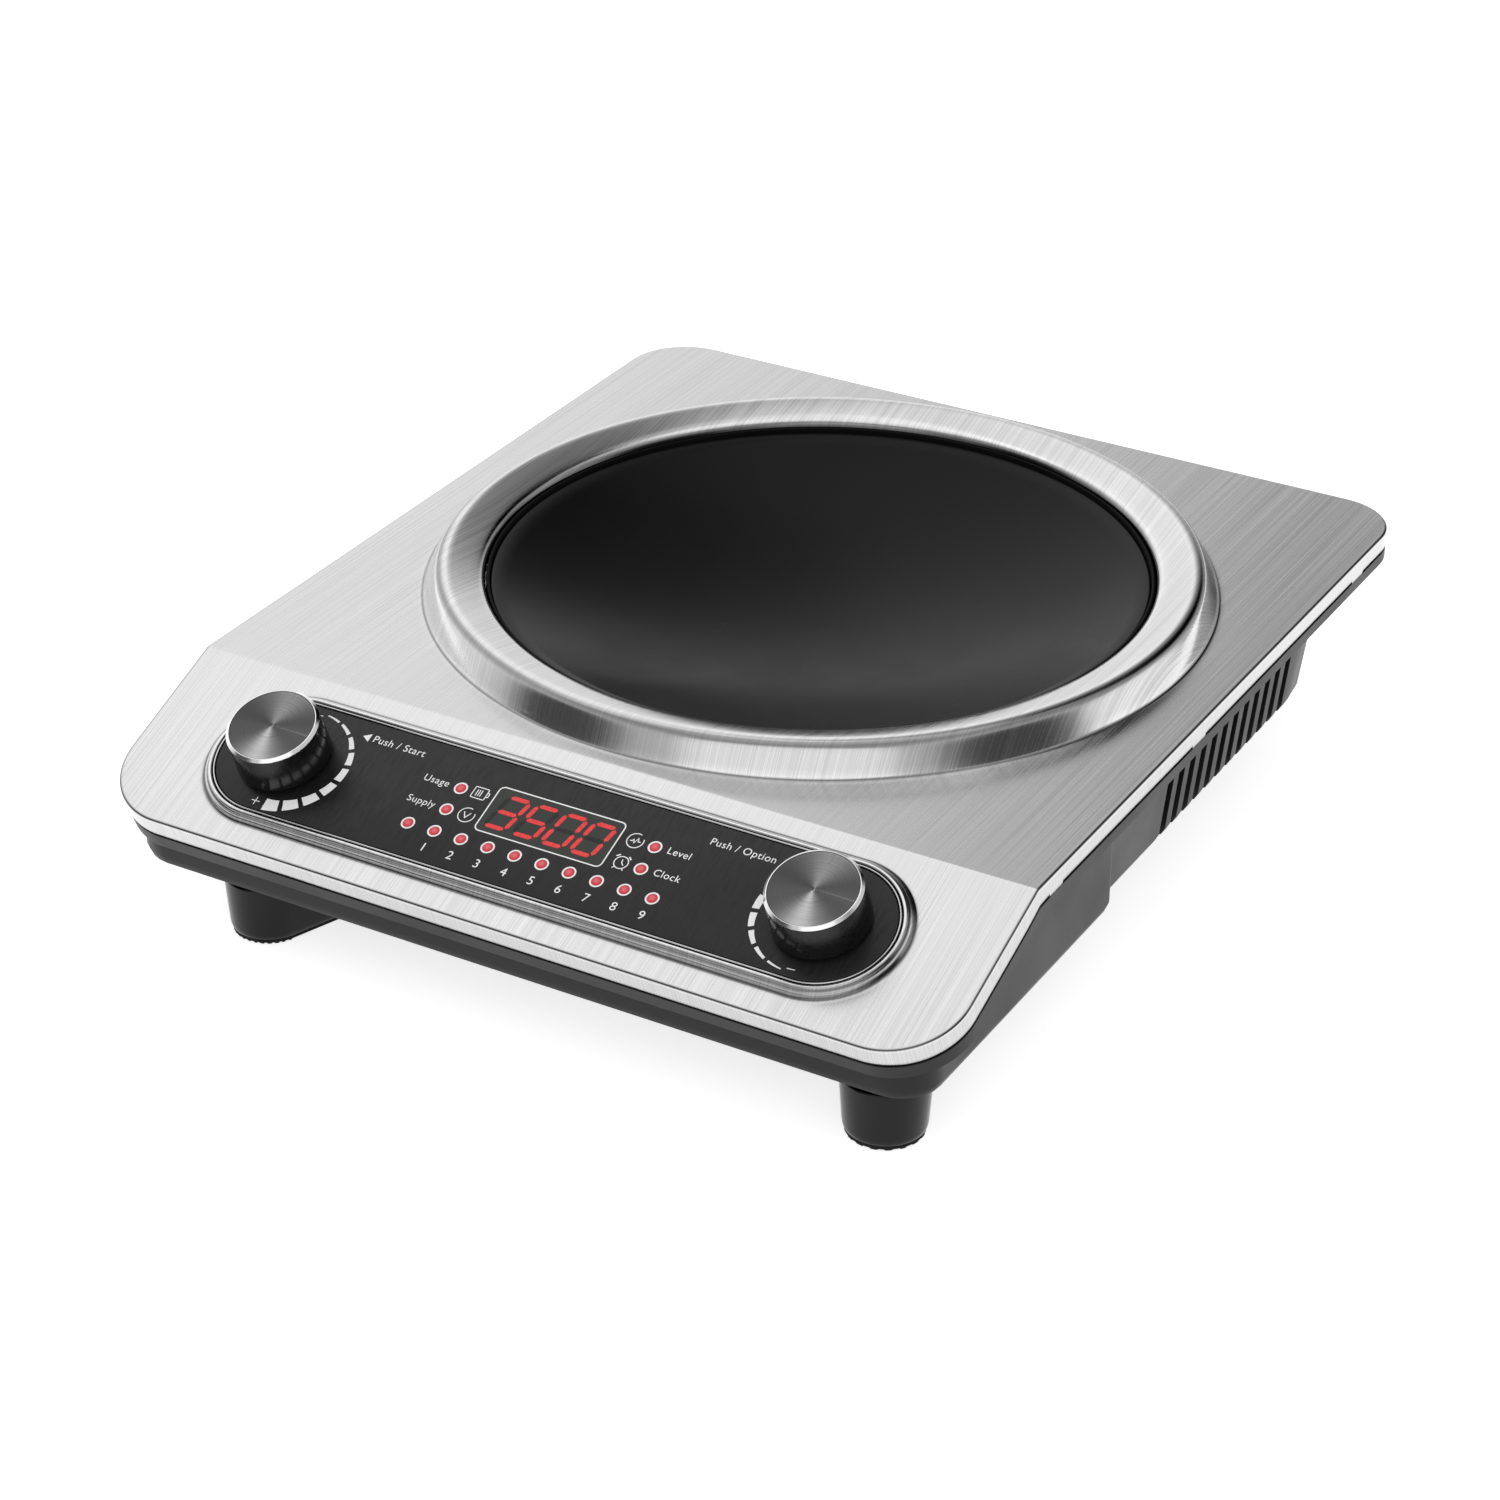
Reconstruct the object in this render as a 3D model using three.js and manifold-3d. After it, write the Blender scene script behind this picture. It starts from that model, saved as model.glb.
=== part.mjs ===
// A free-standing induction hob with a dished glass for round pans and a sloping front panel
// that carries a display and two knobs to turn and press.
// Millimetres, +X to the right, +Y to the back, +Z up. The origin is on the table, under the
// middle of the hob.
import * as THREE from "three";
import { mergeVertices } from "three/addons/utils/BufferGeometryUtils.js";
import Module from "manifold-3d";

const wasm = await Module();
wasm.setup();

// ---- Driving dimensions -------------------------------------------------------------------
const GAP = 0.3; // between pieces that touch
const WIDTH = 340; // of the pressed steel cover
const FLAT_DEPTH = 324.2; // of its level part, from the fold to the back edge
const SLOPE_LENGTH = 78.4; // of its sloping part, from the fold to the front edge
const SLOPE = THREE.MathUtils.degToRad(21.8);
const TOP_HEIGHT = 78; // of the level part above the table
const SHEET = 1; // steel thickness
const BACK_RADIUS = 25; // corners of the level part
const FRONT_RADIUS = 28; // corners of the sloping part
const FLAT_SKIRT = 6.3; // the cover's edge, bent down
const SLOPE_SKIRT = 7.7;

const BOWL_Y = 157; // centre of the glass, behind the fold
const GLASS_RADIUS = 124.5;
const GLASS_THICKNESS = 4.3;
const GLASS_SAG = 26; // from the glass's edge to its middle
const GLASS_RIM = 4.6; // the glass's edge above the level steel
const ROUND = 40; // sides of the large round pieces

const PANEL_S = 38.3; // the panel's middle line, down the slope from the fold
const PANEL_END_X = 110; // centres of the panel's two round ends
const FASCIA_RADIUS = 24.7; // of those ends, on the black fascia
const FASCIA_TOP = 3; // above the steel
const LED_PITCH = 11;
const LED_ROW_S = 49.5;
const STATUS_X = 39.5;
const STATUS_ROWS_S = [29.6, 39.6];
const DISPLAY = { width: 50.3, height: 19, s: 33.8 };

const KNOB_X = 109;
const KNOB_TOP = 20.5; // above the slope
const KNOB_RADIUS = 17;
const SHAFT_RADIUS = 3;

const FLANGE_INSET = 1.4; // the housing's rim, inside the cover's skirt
const WALL = 2.5; // of the moulded housing
const FLOOR_FRONT = -54.5; // undersides, from the level steel
const FLOOR_REAR = -51.7;
const FRONT_END = 82; // where the deep front section stops
const HOUSING_BACK = 297;
const SLOT = { count: 12, width: 5.2, pitch: 9.64, first: 127.9, top: -14.5, reach: 150 };

const FOOT_TOP_RADIUS = 16;
const FOOT_BOTTOM_RADIUS = 14.5;
const SOLE_THICKNESS = 1.4;
// Each foot's centre, the housing floor over it, and for the long one its half length between
// the centres of its round ends and the heading of that line.
const FEET = {
  front_left: { x: -106.6, y: -26.7, floor: FLOOR_FRONT, halfSpan: 20, heading: 70 },
  front_right: { x: 138.8, y: -46, floor: FLOOR_FRONT, halfSpan: 0, heading: 0 },
  rear_left: { x: -112, y: 235, floor: FLOOR_REAR, halfSpan: 0, heading: 0 },
  rear_right: { x: 112, y: 235, floor: FLOOR_REAR, halfSpan: 0, heading: 0 },
};

const FAN = { x: 100, y: 35, size: 80, bottom: -51.7, height: 20 };
const BOARD = { x0: -150, x1: 52, y0: -52, y1: 40, bottom: -46, top: -44.4 };

// ---- Materials ----------------------------------------------------------------------------
const finish = (color, roughness, metalness) =>
  new THREE.MeshStandardMaterial({ color, roughness, metalness });
const STEEL = finish(0xc9c9c7, 0.3, 1);
const BLACK_PLASTIC = finish(0x26272a, 0.55, 0);
const FASCIA = finish(0x2b2b2b, 0.3, 0);
const GLASS = finish(0x141516, 0.06, 0);
const SILICONE = finish(0x0d0d0d, 0.7, 0);
const CHROME = finish(0xd8d8d8, 0.12, 1);
const ALUMINIUM = finish(0x9a9b9d, 0.28, 1);
const RED_DIFFUSER = finish(0xd0444c, 0.4, 0);
const SMOKED = finish(0x40433f, 0.2, 0);
const COPPER = finish(0xb0643a, 0.4, 1);
const MICA = finish(0xcfc6ae, 0.6, 0);
const FERRITE = finish(0x35373a, 0.7, 0);
const CARRIER_PLASTIC = finish(0xb9b6ac, 0.6, 0);
const BOARD_GREEN = finish(0x1f5a36, 0.5, 0);
const COMPONENT_BLACK = finish(0x1c1c1e, 0.5, 0);
const FILM_YELLOW = finish(0xd2a52c, 0.5, 0);
const RUBBER = finish(0x1a1a1a, 0.85, 0);
const ZINC = finish(0xa9abae, 0.35, 1);

// ---- Making and combining shapes ----------------------------------------------------------
// A closed geometry as a solid that can be joined and cut.
function toSolid(geometry) {
  const bare = geometry.clone();
  bare.deleteAttribute("normal");
  bare.deleteAttribute("uv");
  const merged = mergeVertices(bare, 1e-4);
  const mesh = new wasm.Mesh({
    numProp: 3,
    vertProperties: merged.attributes.position.array,
    triVerts: new Uint32Array(merged.index.array),
  });
  return new wasm.Manifold(mesh);
}

function fromSolid(solid) {
  const mesh = solid.getMesh();
  const geometry = new THREE.BufferGeometry();
  geometry.setAttribute("position", new THREE.BufferAttribute(mesh.vertProperties, 3));
  geometry.setIndex(new THREE.BufferAttribute(mesh.triVerts, 1));
  geometry.computeVertexNormals();
  return geometry;
}

function join(...geometries) {
  return fromSolid(geometries.map(toSolid).reduce((sum, solid) => sum.add(solid)));
}

function cut(geometry, ...tools) {
  const solids = tools.map(toSolid);
  return fromSolid(solids.reduce((rest, tool) => rest.subtract(tool), toSolid(geometry)));
}

function box(x0, x1, y0, y1, z0, z1) {
  const block = new THREE.BoxGeometry(x1 - x0, y1 - y0, z1 - z0);
  return block.translate((x0 + x1) / 2, (y0 + y1) / 2, (z0 + z1) / 2);
}

// An upright cylinder.
function rod(radius, z0, z1, sides = 24) {
  const shape = new THREE.CylinderGeometry(radius, radius, z1 - z0, sides);
  return shape.rotateX(Math.PI / 2).translate(0, 0, (z0 + z1) / 2);
}

// A profile of [radius, height] points, anticlockwise, turned about Z. One that isn't on the
// axis at both ends is closed on itself.
function turned(profile, sides = ROUND, start = 0) {
  const points = profile.map(([radius, height]) => new THREE.Vector2(radius, height));
  if (points[0].x > 0) points.push(points[0].clone());
  return new THREE.LatheGeometry(points, sides, start).rotateX(Math.PI / 2);
}

// The same, drawn out along X so that its plan is a slot with two round ends.
function turnedSlot(profile, halfSpan, sides = 32) {
  const shape = turned(profile, sides, Math.PI / sides);
  const position = shape.attributes.position;
  for (let i = 0; i < position.count; i += 1) {
    const x = position.getX(i);
    position.setX(i, x + Math.sign(x) * halfSpan);
  }
  return shape;
}

// A rectangle with one radius on its two front corners and another on its two back ones.
function plateShape(halfWidth, front, back, frontRadius, backRadius, steps = 6) {
  const corners = [
    [halfWidth - frontRadius, front + frontRadius, frontRadius],
    [halfWidth - backRadius, back - backRadius, backRadius],
    [backRadius - halfWidth, back - backRadius, backRadius],
    [frontRadius - halfWidth, front + frontRadius, frontRadius],
  ];
  const points = corners.flatMap(([x, y, radius], quarter) => {
    const count = radius > 0 ? steps : 0;
    return Array.from({ length: count + 1 }, (_, i) => {
      const angle = (quarter - 1 + (count ? i / count : 0)) * (Math.PI / 2);
      return new THREE.Vector2(x + radius * Math.cos(angle), y + radius * Math.sin(angle));
    });
  });
  return new THREE.Shape(points);
}

function slab(shape, z0, z1) {
  const options = { depth: z1 - z0, bevelEnabled: false };
  return new THREE.ExtrudeGeometry(shape, options).translate(0, 0, z0);
}

// A slab whose lower edge is rounded off by `radius`.
function roundedSlab(shape, z0, z1, radius) {
  const options = {
    depth: z1 - z0,
    bevelThickness: radius,
    bevelSize: radius,
    bevelOffset: -radius,
    bevelSegments: 2,
  };
  return new THREE.ExtrudeGeometry(shape, options).translate(0, 0, z0 + radius);
}

const onSlope = (geometry) => geometry.rotateX(SLOPE);

// ---- Pressed steel cover ------------------------------------------------------------------
// The raised ring round the glass, from its foot over its crest to the ledge under the glass.
const RING_PROFILE = [
  [150.2, -SHEET],
  [150.2, 0],
  [148.8, 0.7],
  [145.8, 7.6],
  [143.9, 10.8],
  [141.2, 11.7],
  [138.6, 11.2],
  [129, 8.4],
  [127.3, 7.5],
  [126.4, 6.2],
  [126.4, -1.2],
  [116.5, -5.2],
  [116.5, -6.3],
  [127.4, -1.9],
  [127.4, 5.4],
  [129.2, 7.2],
  [139, 10.2],
  [141.2, 10.6],
  [143.1, 10],
  [144.8, 7.2],
  [147.8, -SHEET],
];

// The raised rim round the panel, with its two steps and its edge turned down inside.
const PANEL_RIM_PROFILE = [
  [30.15, -SHEET],
  [30.15, 0],
  [29.5, 0.3],
  [29, 1.4],
  [28.4, 1.7],
  [27.9, 2.8],
  [26.9, 3.35],
  [26.1, 3],
  [26, 1.9],
  [26.9, 1.9],
  [27.4, 1],
  [28.2, 0.6],
  [28.8, -SHEET],
];

function topCover() {
  const half = WIDTH / 2;
  const outer = join(
    slab(plateShape(half, 0, FLAT_DEPTH, 0, BACK_RADIUS), -FLAT_SKIRT, 0),
    onSlope(slab(plateShape(half, -SLOPE_LENGTH, 0, FRONT_RADIUS, 0), -SLOPE_SKIRT, 0)),
  );
  const inside = half - SHEET;
  const flat = plateShape(inside, 0, FLAT_DEPTH - SHEET, 0, BACK_RADIUS - SHEET);
  const slope = plateShape(inside, SHEET - SLOPE_LENGTH, 0, FRONT_RADIUS - SHEET, 0);
  const shell = cut(
    outer,
    slab(flat, -20, -SHEET),
    onSlope(slab(slope, -20, -SHEET)),
    rod(149.4, -9, 1, ROUND).translate(0, BOWL_Y, 0),
    onSlope(panelSlot(29.4, -3, 2)),
  );
  return join(
    shell,
    turned(RING_PROFILE).translate(0, BOWL_Y, 0),
    onSlope(turnedSlot(PANEL_RIM_PROFILE, PANEL_END_X).translate(0, -PANEL_S, 0)),
  );
}

// ---- Glass, seal and coil -----------------------------------------------------------------
// Height of the glass's upper face at a radius.
const bowlHeight = (radius) => GLASS_RIM - GLASS_SAG * (1 - (radius / GLASS_RADIUS) ** 2);

// A dish of even thickness, `offset` under the glass's upper face.
function dish(inner, outer, offset, thickness, steps = 4) {
  const profile = [];
  const at = (step) => inner + ((outer - inner) * step) / steps;
  for (let step = 0; step <= steps; step += 1) {
    profile.push([at(step), bowlHeight(at(step)) - offset - thickness]);
  }
  for (let step = steps; step >= 0; step -= 1) {
    profile.push([at(step), bowlHeight(at(step)) - offset]);
  }
  return turned(profile);
}

function glassSeal() {
  return turned([
    [118, -4.3],
    [126.1, -1],
    [126.1, 6],
    [GLASS_RADIUS + GAP, 6],
    [GLASS_RADIUS + GAP, 0],
    [118, -2.65],
  ]);
}

const MICA_OFFSET = GLASS_THICKNESS + 0.5;
const COIL_OFFSET = MICA_OFFSET + 1.4;
const CARRIER_OFFSET = COIL_OFFSET + 4.8;
const CARRIER_THICKNESS = 2;
const FERRITE_OFFSET = CARRIER_OFFSET + CARRIER_THICKNESS + 0.5;
const LEG_REACH = 71; // of the carrier's four legs, in X and in Y from the middle
const LEG_SIGNS = [[-1, -1], [1, -1], [1, 1], [-1, 1]];
const legPlaces = LEG_SIGNS.map(([sx, sy]) => [sx * LEG_REACH, sy * LEG_REACH]);

function coilCarrier() {
  const foot = FLOOR_REAR + WALL + GAP;
  const legs = legPlaces.map(([x, y]) => rod(5, foot, -17.2, 12).translate(x, y, 0));
  const bores = legPlaces.map(([x, y]) => rod(1.9, foot - 1, foot + 24, 10).translate(x, y, 0));
  return cut(join(dish(5, 112, CARRIER_OFFSET, CARRIER_THICKNESS), ...legs), ...bores);
}

function carrierScrew() {
  return turned([
    [0, FLOOR_REAR - 2.5],
    [3.2, FLOOR_REAR - 2.5],
    [3.6, FLOOR_REAR - GAP],
    [1.5, FLOOR_REAR - GAP],
    [1.5, -30],
    [0, -29],
  ], 12);
}

// The spring-loaded probe that rests against the middle of the glass from below.
function temperatureSensor() {
  const shoulder = bowlHeight(9) - CARRIER_OFFSET + GAP;
  const head = bowlHeight(0) - GLASS_THICKNESS - GAP;
  return turned([
    [0, shoulder - 6],
    [4.4, shoulder - 6],
    [4.4, shoulder],
    [8, shoulder],
    [8, shoulder + 2],
    [5, shoulder + 2.6],
    [6, head - 0.8],
    [5.4, head],
    [0, head],
  ], 20);
}

function coilGroup() {
  const group = new THREE.Group();
  group.position.y = BOWL_Y;
  const glassProfile = [[0, bowlHeight(0) - GLASS_THICKNESS]];
  const steps = 5;
  for (let step = 1; step <= steps; step += 1) {
    const radius = (GLASS_RADIUS * step) / steps;
    glassProfile.push([radius, bowlHeight(radius) - GLASS_THICKNESS]);
  }
  for (let step = steps; step >= 0; step -= 1) {
    const radius = (GLASS_RADIUS * step) / steps;
    glassProfile.push([radius, bowlHeight(radius)]);
  }
  group.add(
    piece("concave_glass", turned(glassProfile), GLASS),
    piece("glass_seal", glassSeal(), SILICONE),
    piece("mica_sheet", dish(9, 112, MICA_OFFSET, 0.8), MICA),
    piece("induction_coil", dish(28, 100, COIL_OFFSET, 4), COPPER),
    piece("coil_carrier", coilCarrier(), CARRIER_PLASTIC),
    piece("temperature_sensor", temperatureSensor(), ZINC),
  );
  legPlaces.forEach(([x, y], i) => {
    const screw = piece(`carrier_screw_${i + 1}`, carrierScrew(), ZINC);
    screw.position.set(x, y, 0);
    group.add(screw);
  });
  const barCentre = 68;
  const barSlope = (2 * GLASS_SAG * barCentre) / GLASS_RADIUS ** 2;
  for (let i = 0; i < 6; i += 1) {
    const spoke = new THREE.Group();
    spoke.rotation.z = (i * Math.PI) / 3;
    const bar = piece(`ferrite_bar_${i + 1}`, new THREE.BoxGeometry(55, 14, 5), FERRITE);
    bar.position.set(barCentre, 0, bowlHeight(barCentre) - FERRITE_OFFSET - 2.7);
    bar.rotation.y = -Math.atan(barSlope);
    spoke.add(bar);
    group.add(spoke);
  }
  return group;
}

// ---- Control panel ------------------------------------------------------------------------
// A slot-shaped plate in the panel's place on the slope.
function panelSlot(radius, z0, z1) {
  const front = -PANEL_S - radius;
  const back = -PANEL_S + radius;
  return slab(plateShape(PANEL_END_X + radius, front, back, radius, radius, 8), z0, z1);
}

// The row of power-level lamps, then the four status lamps beside the display.
function lampPlaces() {
  const places = [];
  for (let i = 0; i < 10; i += 1) places.push([(i - 4.5) * LED_PITCH, -LED_ROW_S]);
  for (const s of STATUS_ROWS_S) places.push([-STATUS_X, -s], [STATUS_X, -s]);
  return places;
}

const displayBlock = (margin, z0, z1) =>
  box(
    -DISPLAY.width / 2 - margin,
    DISPLAY.width / 2 + margin,
    -DISPLAY.s - DISPLAY.height / 2 - margin,
    -DISPLAY.s + DISPLAY.height / 2 + margin,
    z0,
    z1,
  );

function controlFascia() {
  const lamps = lampPlaces().map(([x, y]) => rod(2.2, 0, 4, 10).translate(x, y, 0));
  const shafts = [-KNOB_X, KNOB_X].map((x) => rod(5, 0, 4, 16).translate(x, -PANEL_S, 0));
  const plate = panelSlot(FASCIA_RADIUS, 0.9, FASCIA_TOP);
  return cut(plate, displayBlock(-1, 0, 4), ...lamps, ...shafts);
}

function panelTrimRing() {
  const shape = [[25, 0.9], [25.7, 0.9], [25.7, 3], [25.4, 3.2], [25, 3.1]];
  return turnedSlot(shape, PANEL_END_X).translate(0, -PANEL_S, 0);
}

function lightGuide() {
  const plate = box(-56, 56, -54, -25.5, -1.2, 0.3);
  const posts = lampPlaces().map(([x, y]) => rod(1.9, -0.5, 2.9, 10).translate(x, y, 0));
  return join(cut(plate, displayBlock(1, -2, 2)), ...posts);
}

function displayModule() {
  const pins = [];
  for (const s of [-7.62, 7.62]) {
    pins.push(box(-16, 16, -DISPLAY.s + s - 0.3, -DISPLAY.s + s + 0.3, -10.4, -7));
  }
  return join(displayBlock(0, -7.4, 0.6), ...pins);
}

const CONTROL_BOARD_TOP = -14.6;

function controlPanel() {
  const group = new THREE.Group();
  const bottom = CONTROL_BOARD_TOP - 1.6;
  const board = box(-118, 118, -PANEL_S - 17, -PANEL_S + 17, bottom, CONTROL_BOARD_TOP);
  group.add(
    piece("control_fascia", controlFascia(), FASCIA),
    piece("panel_trim_ring", panelTrimRing(), CHROME),
    piece("display_window", displayBlock(-1.3, 1, 2.9), SMOKED),
    piece("display_module", displayModule(), COMPONENT_BLACK),
    piece("light_guide", lightGuide(), RED_DIFFUSER),
    piece("control_board", board, BOARD_GREEN),
  );
  return group;
}

// ---- Knobs and their switches -------------------------------------------------------------
function knobBody() {
  return turned([
    [16, 4.5],
    [17.4, 4.5],
    [KNOB_RADIUS, KNOB_TOP - 0.9],
    [KNOB_RADIUS - 0.7, KNOB_TOP],
    [KNOB_RADIUS - 0.9, KNOB_TOP],
    [KNOB_RADIUS - 0.9, KNOB_TOP - 1.5],
    [SHAFT_RADIUS + GAP, KNOB_TOP - 1.5],
    [SHAFT_RADIUS + GAP, 6],
    [5.5, 6],
    [5.5, KNOB_TOP - 3.2],
    [15.2, KNOB_TOP - 3.2],
  ], 24);
}

function knobCap() {
  return turned([
    [0, KNOB_TOP - 1.2],
    [KNOB_RADIUS - 1.2, KNOB_TOP - 1.2],
    [KNOB_RADIUS - 1.2, KNOB_TOP - 0.1],
    [0, KNOB_TOP - 0.1],
  ], 24);
}

// The encoder's square case and threaded bush, hollow for the shaft and the plunger.
function encoderBody() {
  const base = CONTROL_BOARD_TOP + GAP;
  const shell = join(box(-7, 7, -7, 7, base, base + 8), rod(4.5, base + 7, -0.5, 16));
  return cut(shell, rod(5, base + 0.7, base + 6.8, 16), rod(SHAFT_RADIUS + GAP, base + 6, 1, 16));
}

const PLUNGER = [-12.6, -11.6];

function knobGroup(side, x) {
  const group = new THREE.Group();
  group.position.set(x, -PANEL_S, 0);
  const shaft = rod(SHAFT_RADIUS, PLUNGER[1] + GAP, KNOB_TOP - 1.8, 16);
  group.add(
    piece(`${side}_knob_body`, knobBody(), BLACK_PLASTIC),
    piece(`${side}_knob_cap`, knobCap(), ALUMINIUM),
    piece(`${side}_encoder_shaft`, shaft, ZINC),
    piece(`${side}_push_plunger`, rod(4, ...PLUNGER, 16), COMPONENT_BLACK),
    piece(`${side}_encoder_body`, encoderBody(), ZINC),
  );
  return group;
}

// ---- Housing ------------------------------------------------------------------------------
const RIM_BOTTOM = -12.2; // of the housing's rim below the level steel
const SLOPE_RIM_BOTTOM = -12.7;
const RIM_TOP = -SHEET - GAP;
const VENT_TOP_HALF = 163.2; // half width of the slotted section at the rim's top
const VENT_INSET = 5.6; // how far its walls lean in by its floor

// The outline of the rim, shrunk by `inset`, on the level part and on the slope.
function rimSlabs(inset, flatBottom, slopeBottom, top) {
  const half = WIDTH / 2 - inset;
  const flat = plateShape(half, 0, FLAT_DEPTH - inset, 0, BACK_RADIUS - inset);
  const slope = plateShape(half, inset - SLOPE_LENGTH, 0, FRONT_RADIUS - inset, 0);
  return [slab(flat, flatBottom, top), onSlope(slab(slope, slopeBottom, top))];
}

function ventSection(inset, floor, top) {
  const start = 60;
  const shape = plateShape(VENT_TOP_HALF - inset, start, HOUSING_BACK - inset, 0, 50 - inset);
  const body = inset ? slab(shape, floor, top) : roundedSlab(shape, floor, top + 4, 4);
  const position = body.attributes.position;
  for (let i = 0; i < position.count; i += 1) {
    const lean = ((RIM_TOP - position.getZ(i)) / (RIM_TOP - FLOOR_REAR)) * VENT_INSET;
    position.setX(i, position.getX(i) * (1 - lean / VENT_TOP_HALF));
    const back = position.getY(i) - start;
    position.setY(i, start + back * (1 - lean / (HOUSING_BACK - start)));
  }
  return body;
}

function sideSlots() {
  const slots = [];
  for (const side of [-1, 1]) {
    for (let i = 0; i < SLOT.count; i += 1) {
      const y = SLOT.first + i * SLOT.pitch;
      const inner = side * SLOT.reach;
      const outer = side * (WIDTH / 2 + 5);
      slots.push(box(
        Math.min(inner, outer),
        Math.max(inner, outer),
        y - SLOT.width / 2,
        y + SLOT.width / 2,
        FLOOR_REAR - 5,
        SLOT.top,
      ));
    }
  }
  return slots;
}

// Long slots under the fan, where it draws its air.
function intakeSlots() {
  const slots = [];
  for (let row = -4; row <= 4; row += 1) {
    const y = FAN.y + row * 7.4;
    const half = Math.sqrt(36 ** 2 - (row * 7.4) ** 2);
    slots.push(box(FAN.x - half, FAN.x + half, y - 2, y + 2, FLOOR_FRONT - 5, FLOOR_FRONT + 5));
  }
  return slots;
}

const GLAND = { x: -70, z: -30, radius: 6.5 };

function lowerHousing() {
  const front = plateShape(161.3, -64, FRONT_END, 16, 6);
  const frontInside = plateShape(161.3 - WALL, -64 + WALL, FRONT_END - WALL, 16 - WALL, 6 - WALL);
  const overSlope = onSlope(box(-200, 200, -140, 100, RIM_TOP, 90));
  const outside = cut(
    join(
      ...rimSlabs(FLANGE_INSET, RIM_BOTTOM, SLOPE_RIM_BOTTOM, RIM_TOP),
      roundedSlab(front, FLOOR_FRONT, 6, 5),
      ventSection(0, FLOOR_REAR, 6),
    ),
    overSlope,
    box(-200, 200, -100, 400, RIM_TOP, 60),
  );
  const shell = cut(
    outside,
    ...rimSlabs(FLANGE_INSET + WALL, RIM_BOTTOM + WALL, SLOPE_RIM_BOTTOM + WALL, 5),
    slab(frontInside, FLOOR_FRONT + WALL, 20),
    ventSection(WALL, FLOOR_REAR + WALL, 20),
  );
  const posts = [];
  for (const x of [BOARD.x0 + 6, BOARD.x1 - 6]) {
    for (const y of [BOARD.y0 + 6, BOARD.y1 - 6]) {
      posts.push(rod(3.5, FLOOR_FRONT + 1, BOARD.bottom - GAP, 10).translate(x, y, 0));
    }
  }
  const screwHoles = legPlaces.map(([x, y]) =>
    rod(2.3, FLOOR_REAR - 3, FLOOR_REAR + 4, 10).translate(x, BOWL_Y + y, 0),
  );
  const gland = rod(GLAND.radius, -20, 20, 16).rotateX(Math.PI / 2);
  gland.translate(GLAND.x, HOUSING_BACK, GLAND.z);
  return cut(join(shell, ...posts), ...sideSlots(), ...intakeSlots(), ...screwHoles, gland);
}

// The mains cord's inlet bushing: a flange outside, a sleeve through the wall, open through.
function cordGland() {
  const bushing = turned([
    [3.6, -9],
    [6, -9],
    [6, 2.6],
    [9.5, 2.6],
    [9, 5.6],
    [6, 9],
    [3.6, 9],
  ], 20);
  return bushing.rotateX(-Math.PI / 2);
}

// ---- Feet ---------------------------------------------------------------------------------
// Each foot is a tapered block with a thin rubber sole that carries the weight.
function feet() {
  const group = new THREE.Group();
  group.position.z = -TOP_HEIGHT;
  const sides = 20;
  for (const [place, { x, y, floor, halfSpan, heading }] of Object.entries(FEET)) {
    const top = TOP_HEIGHT + floor - GAP;
    const bottom = SOLE_THICKNESS + GAP;
    const block = [[0, bottom], [FOOT_BOTTOM_RADIUS, bottom], [FOOT_TOP_RADIUS, top], [0, top]];
    const sole = FOOT_BOTTOM_RADIUS - 0.1;
    const disc = [[0, 0], [sole, 0], [sole, SOLE_THICKNESS], [0, SOLE_THICKNESS]];
    const stand = new THREE.Group();
    stand.position.set(x, y, 0);
    stand.rotation.z = THREE.MathUtils.degToRad(heading);
    stand.add(
      piece(`foot_${place}`, turnedSlot(block, halfSpan, sides), BLACK_PLASTIC),
      piece(`foot_sole_${place}`, turnedSlot(disc, halfSpan, sides), RUBBER),
    );
    group.add(stand);
  }
  return group;
}

// ---- Power electronics and fan ------------------------------------------------------------
function heatSink(width, depth, base, height) {
  const fins = [box(-width / 2, width / 2, -depth / 2, depth / 2, 0, base)];
  const count = 9;
  for (let i = 0; i < count; i += 1) {
    const x = -width / 2 + 0.8 + (i * (width - 1.6)) / (count - 1);
    fins.push(box(x - 0.8, x + 0.8, -depth / 2, depth / 2, base - 0.5, height));
  }
  return join(...fins);
}

// A package with three legs, lying on the board.
function powerPackage(width, length, thickness) {
  const legs = [-1, 0, 1].map((i) => box(i * 5 - 0.6, i * 5 + 0.6, -length / 2 - 7, 0, 1.6, 2.4));
  return join(box(-width / 2, width / 2, -length / 2, length / 2, 0, thickness), ...legs);
}

function capacitorBox(width, depth, height) {
  return slab(plateShape(width / 2, -depth / 2, depth / 2, 1.5, 1.5, 2), 0, height);
}

function choke() {
  const section = [];
  const sides = 8;
  for (let i = 0; i < sides; i += 1) {
    const angle = (i * 2 * Math.PI) / sides;
    section.push([9 + 5 * Math.cos(angle), 6.5 + 6.5 * Math.sin(angle)]);
  }
  return turned(section, 20);
}

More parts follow.
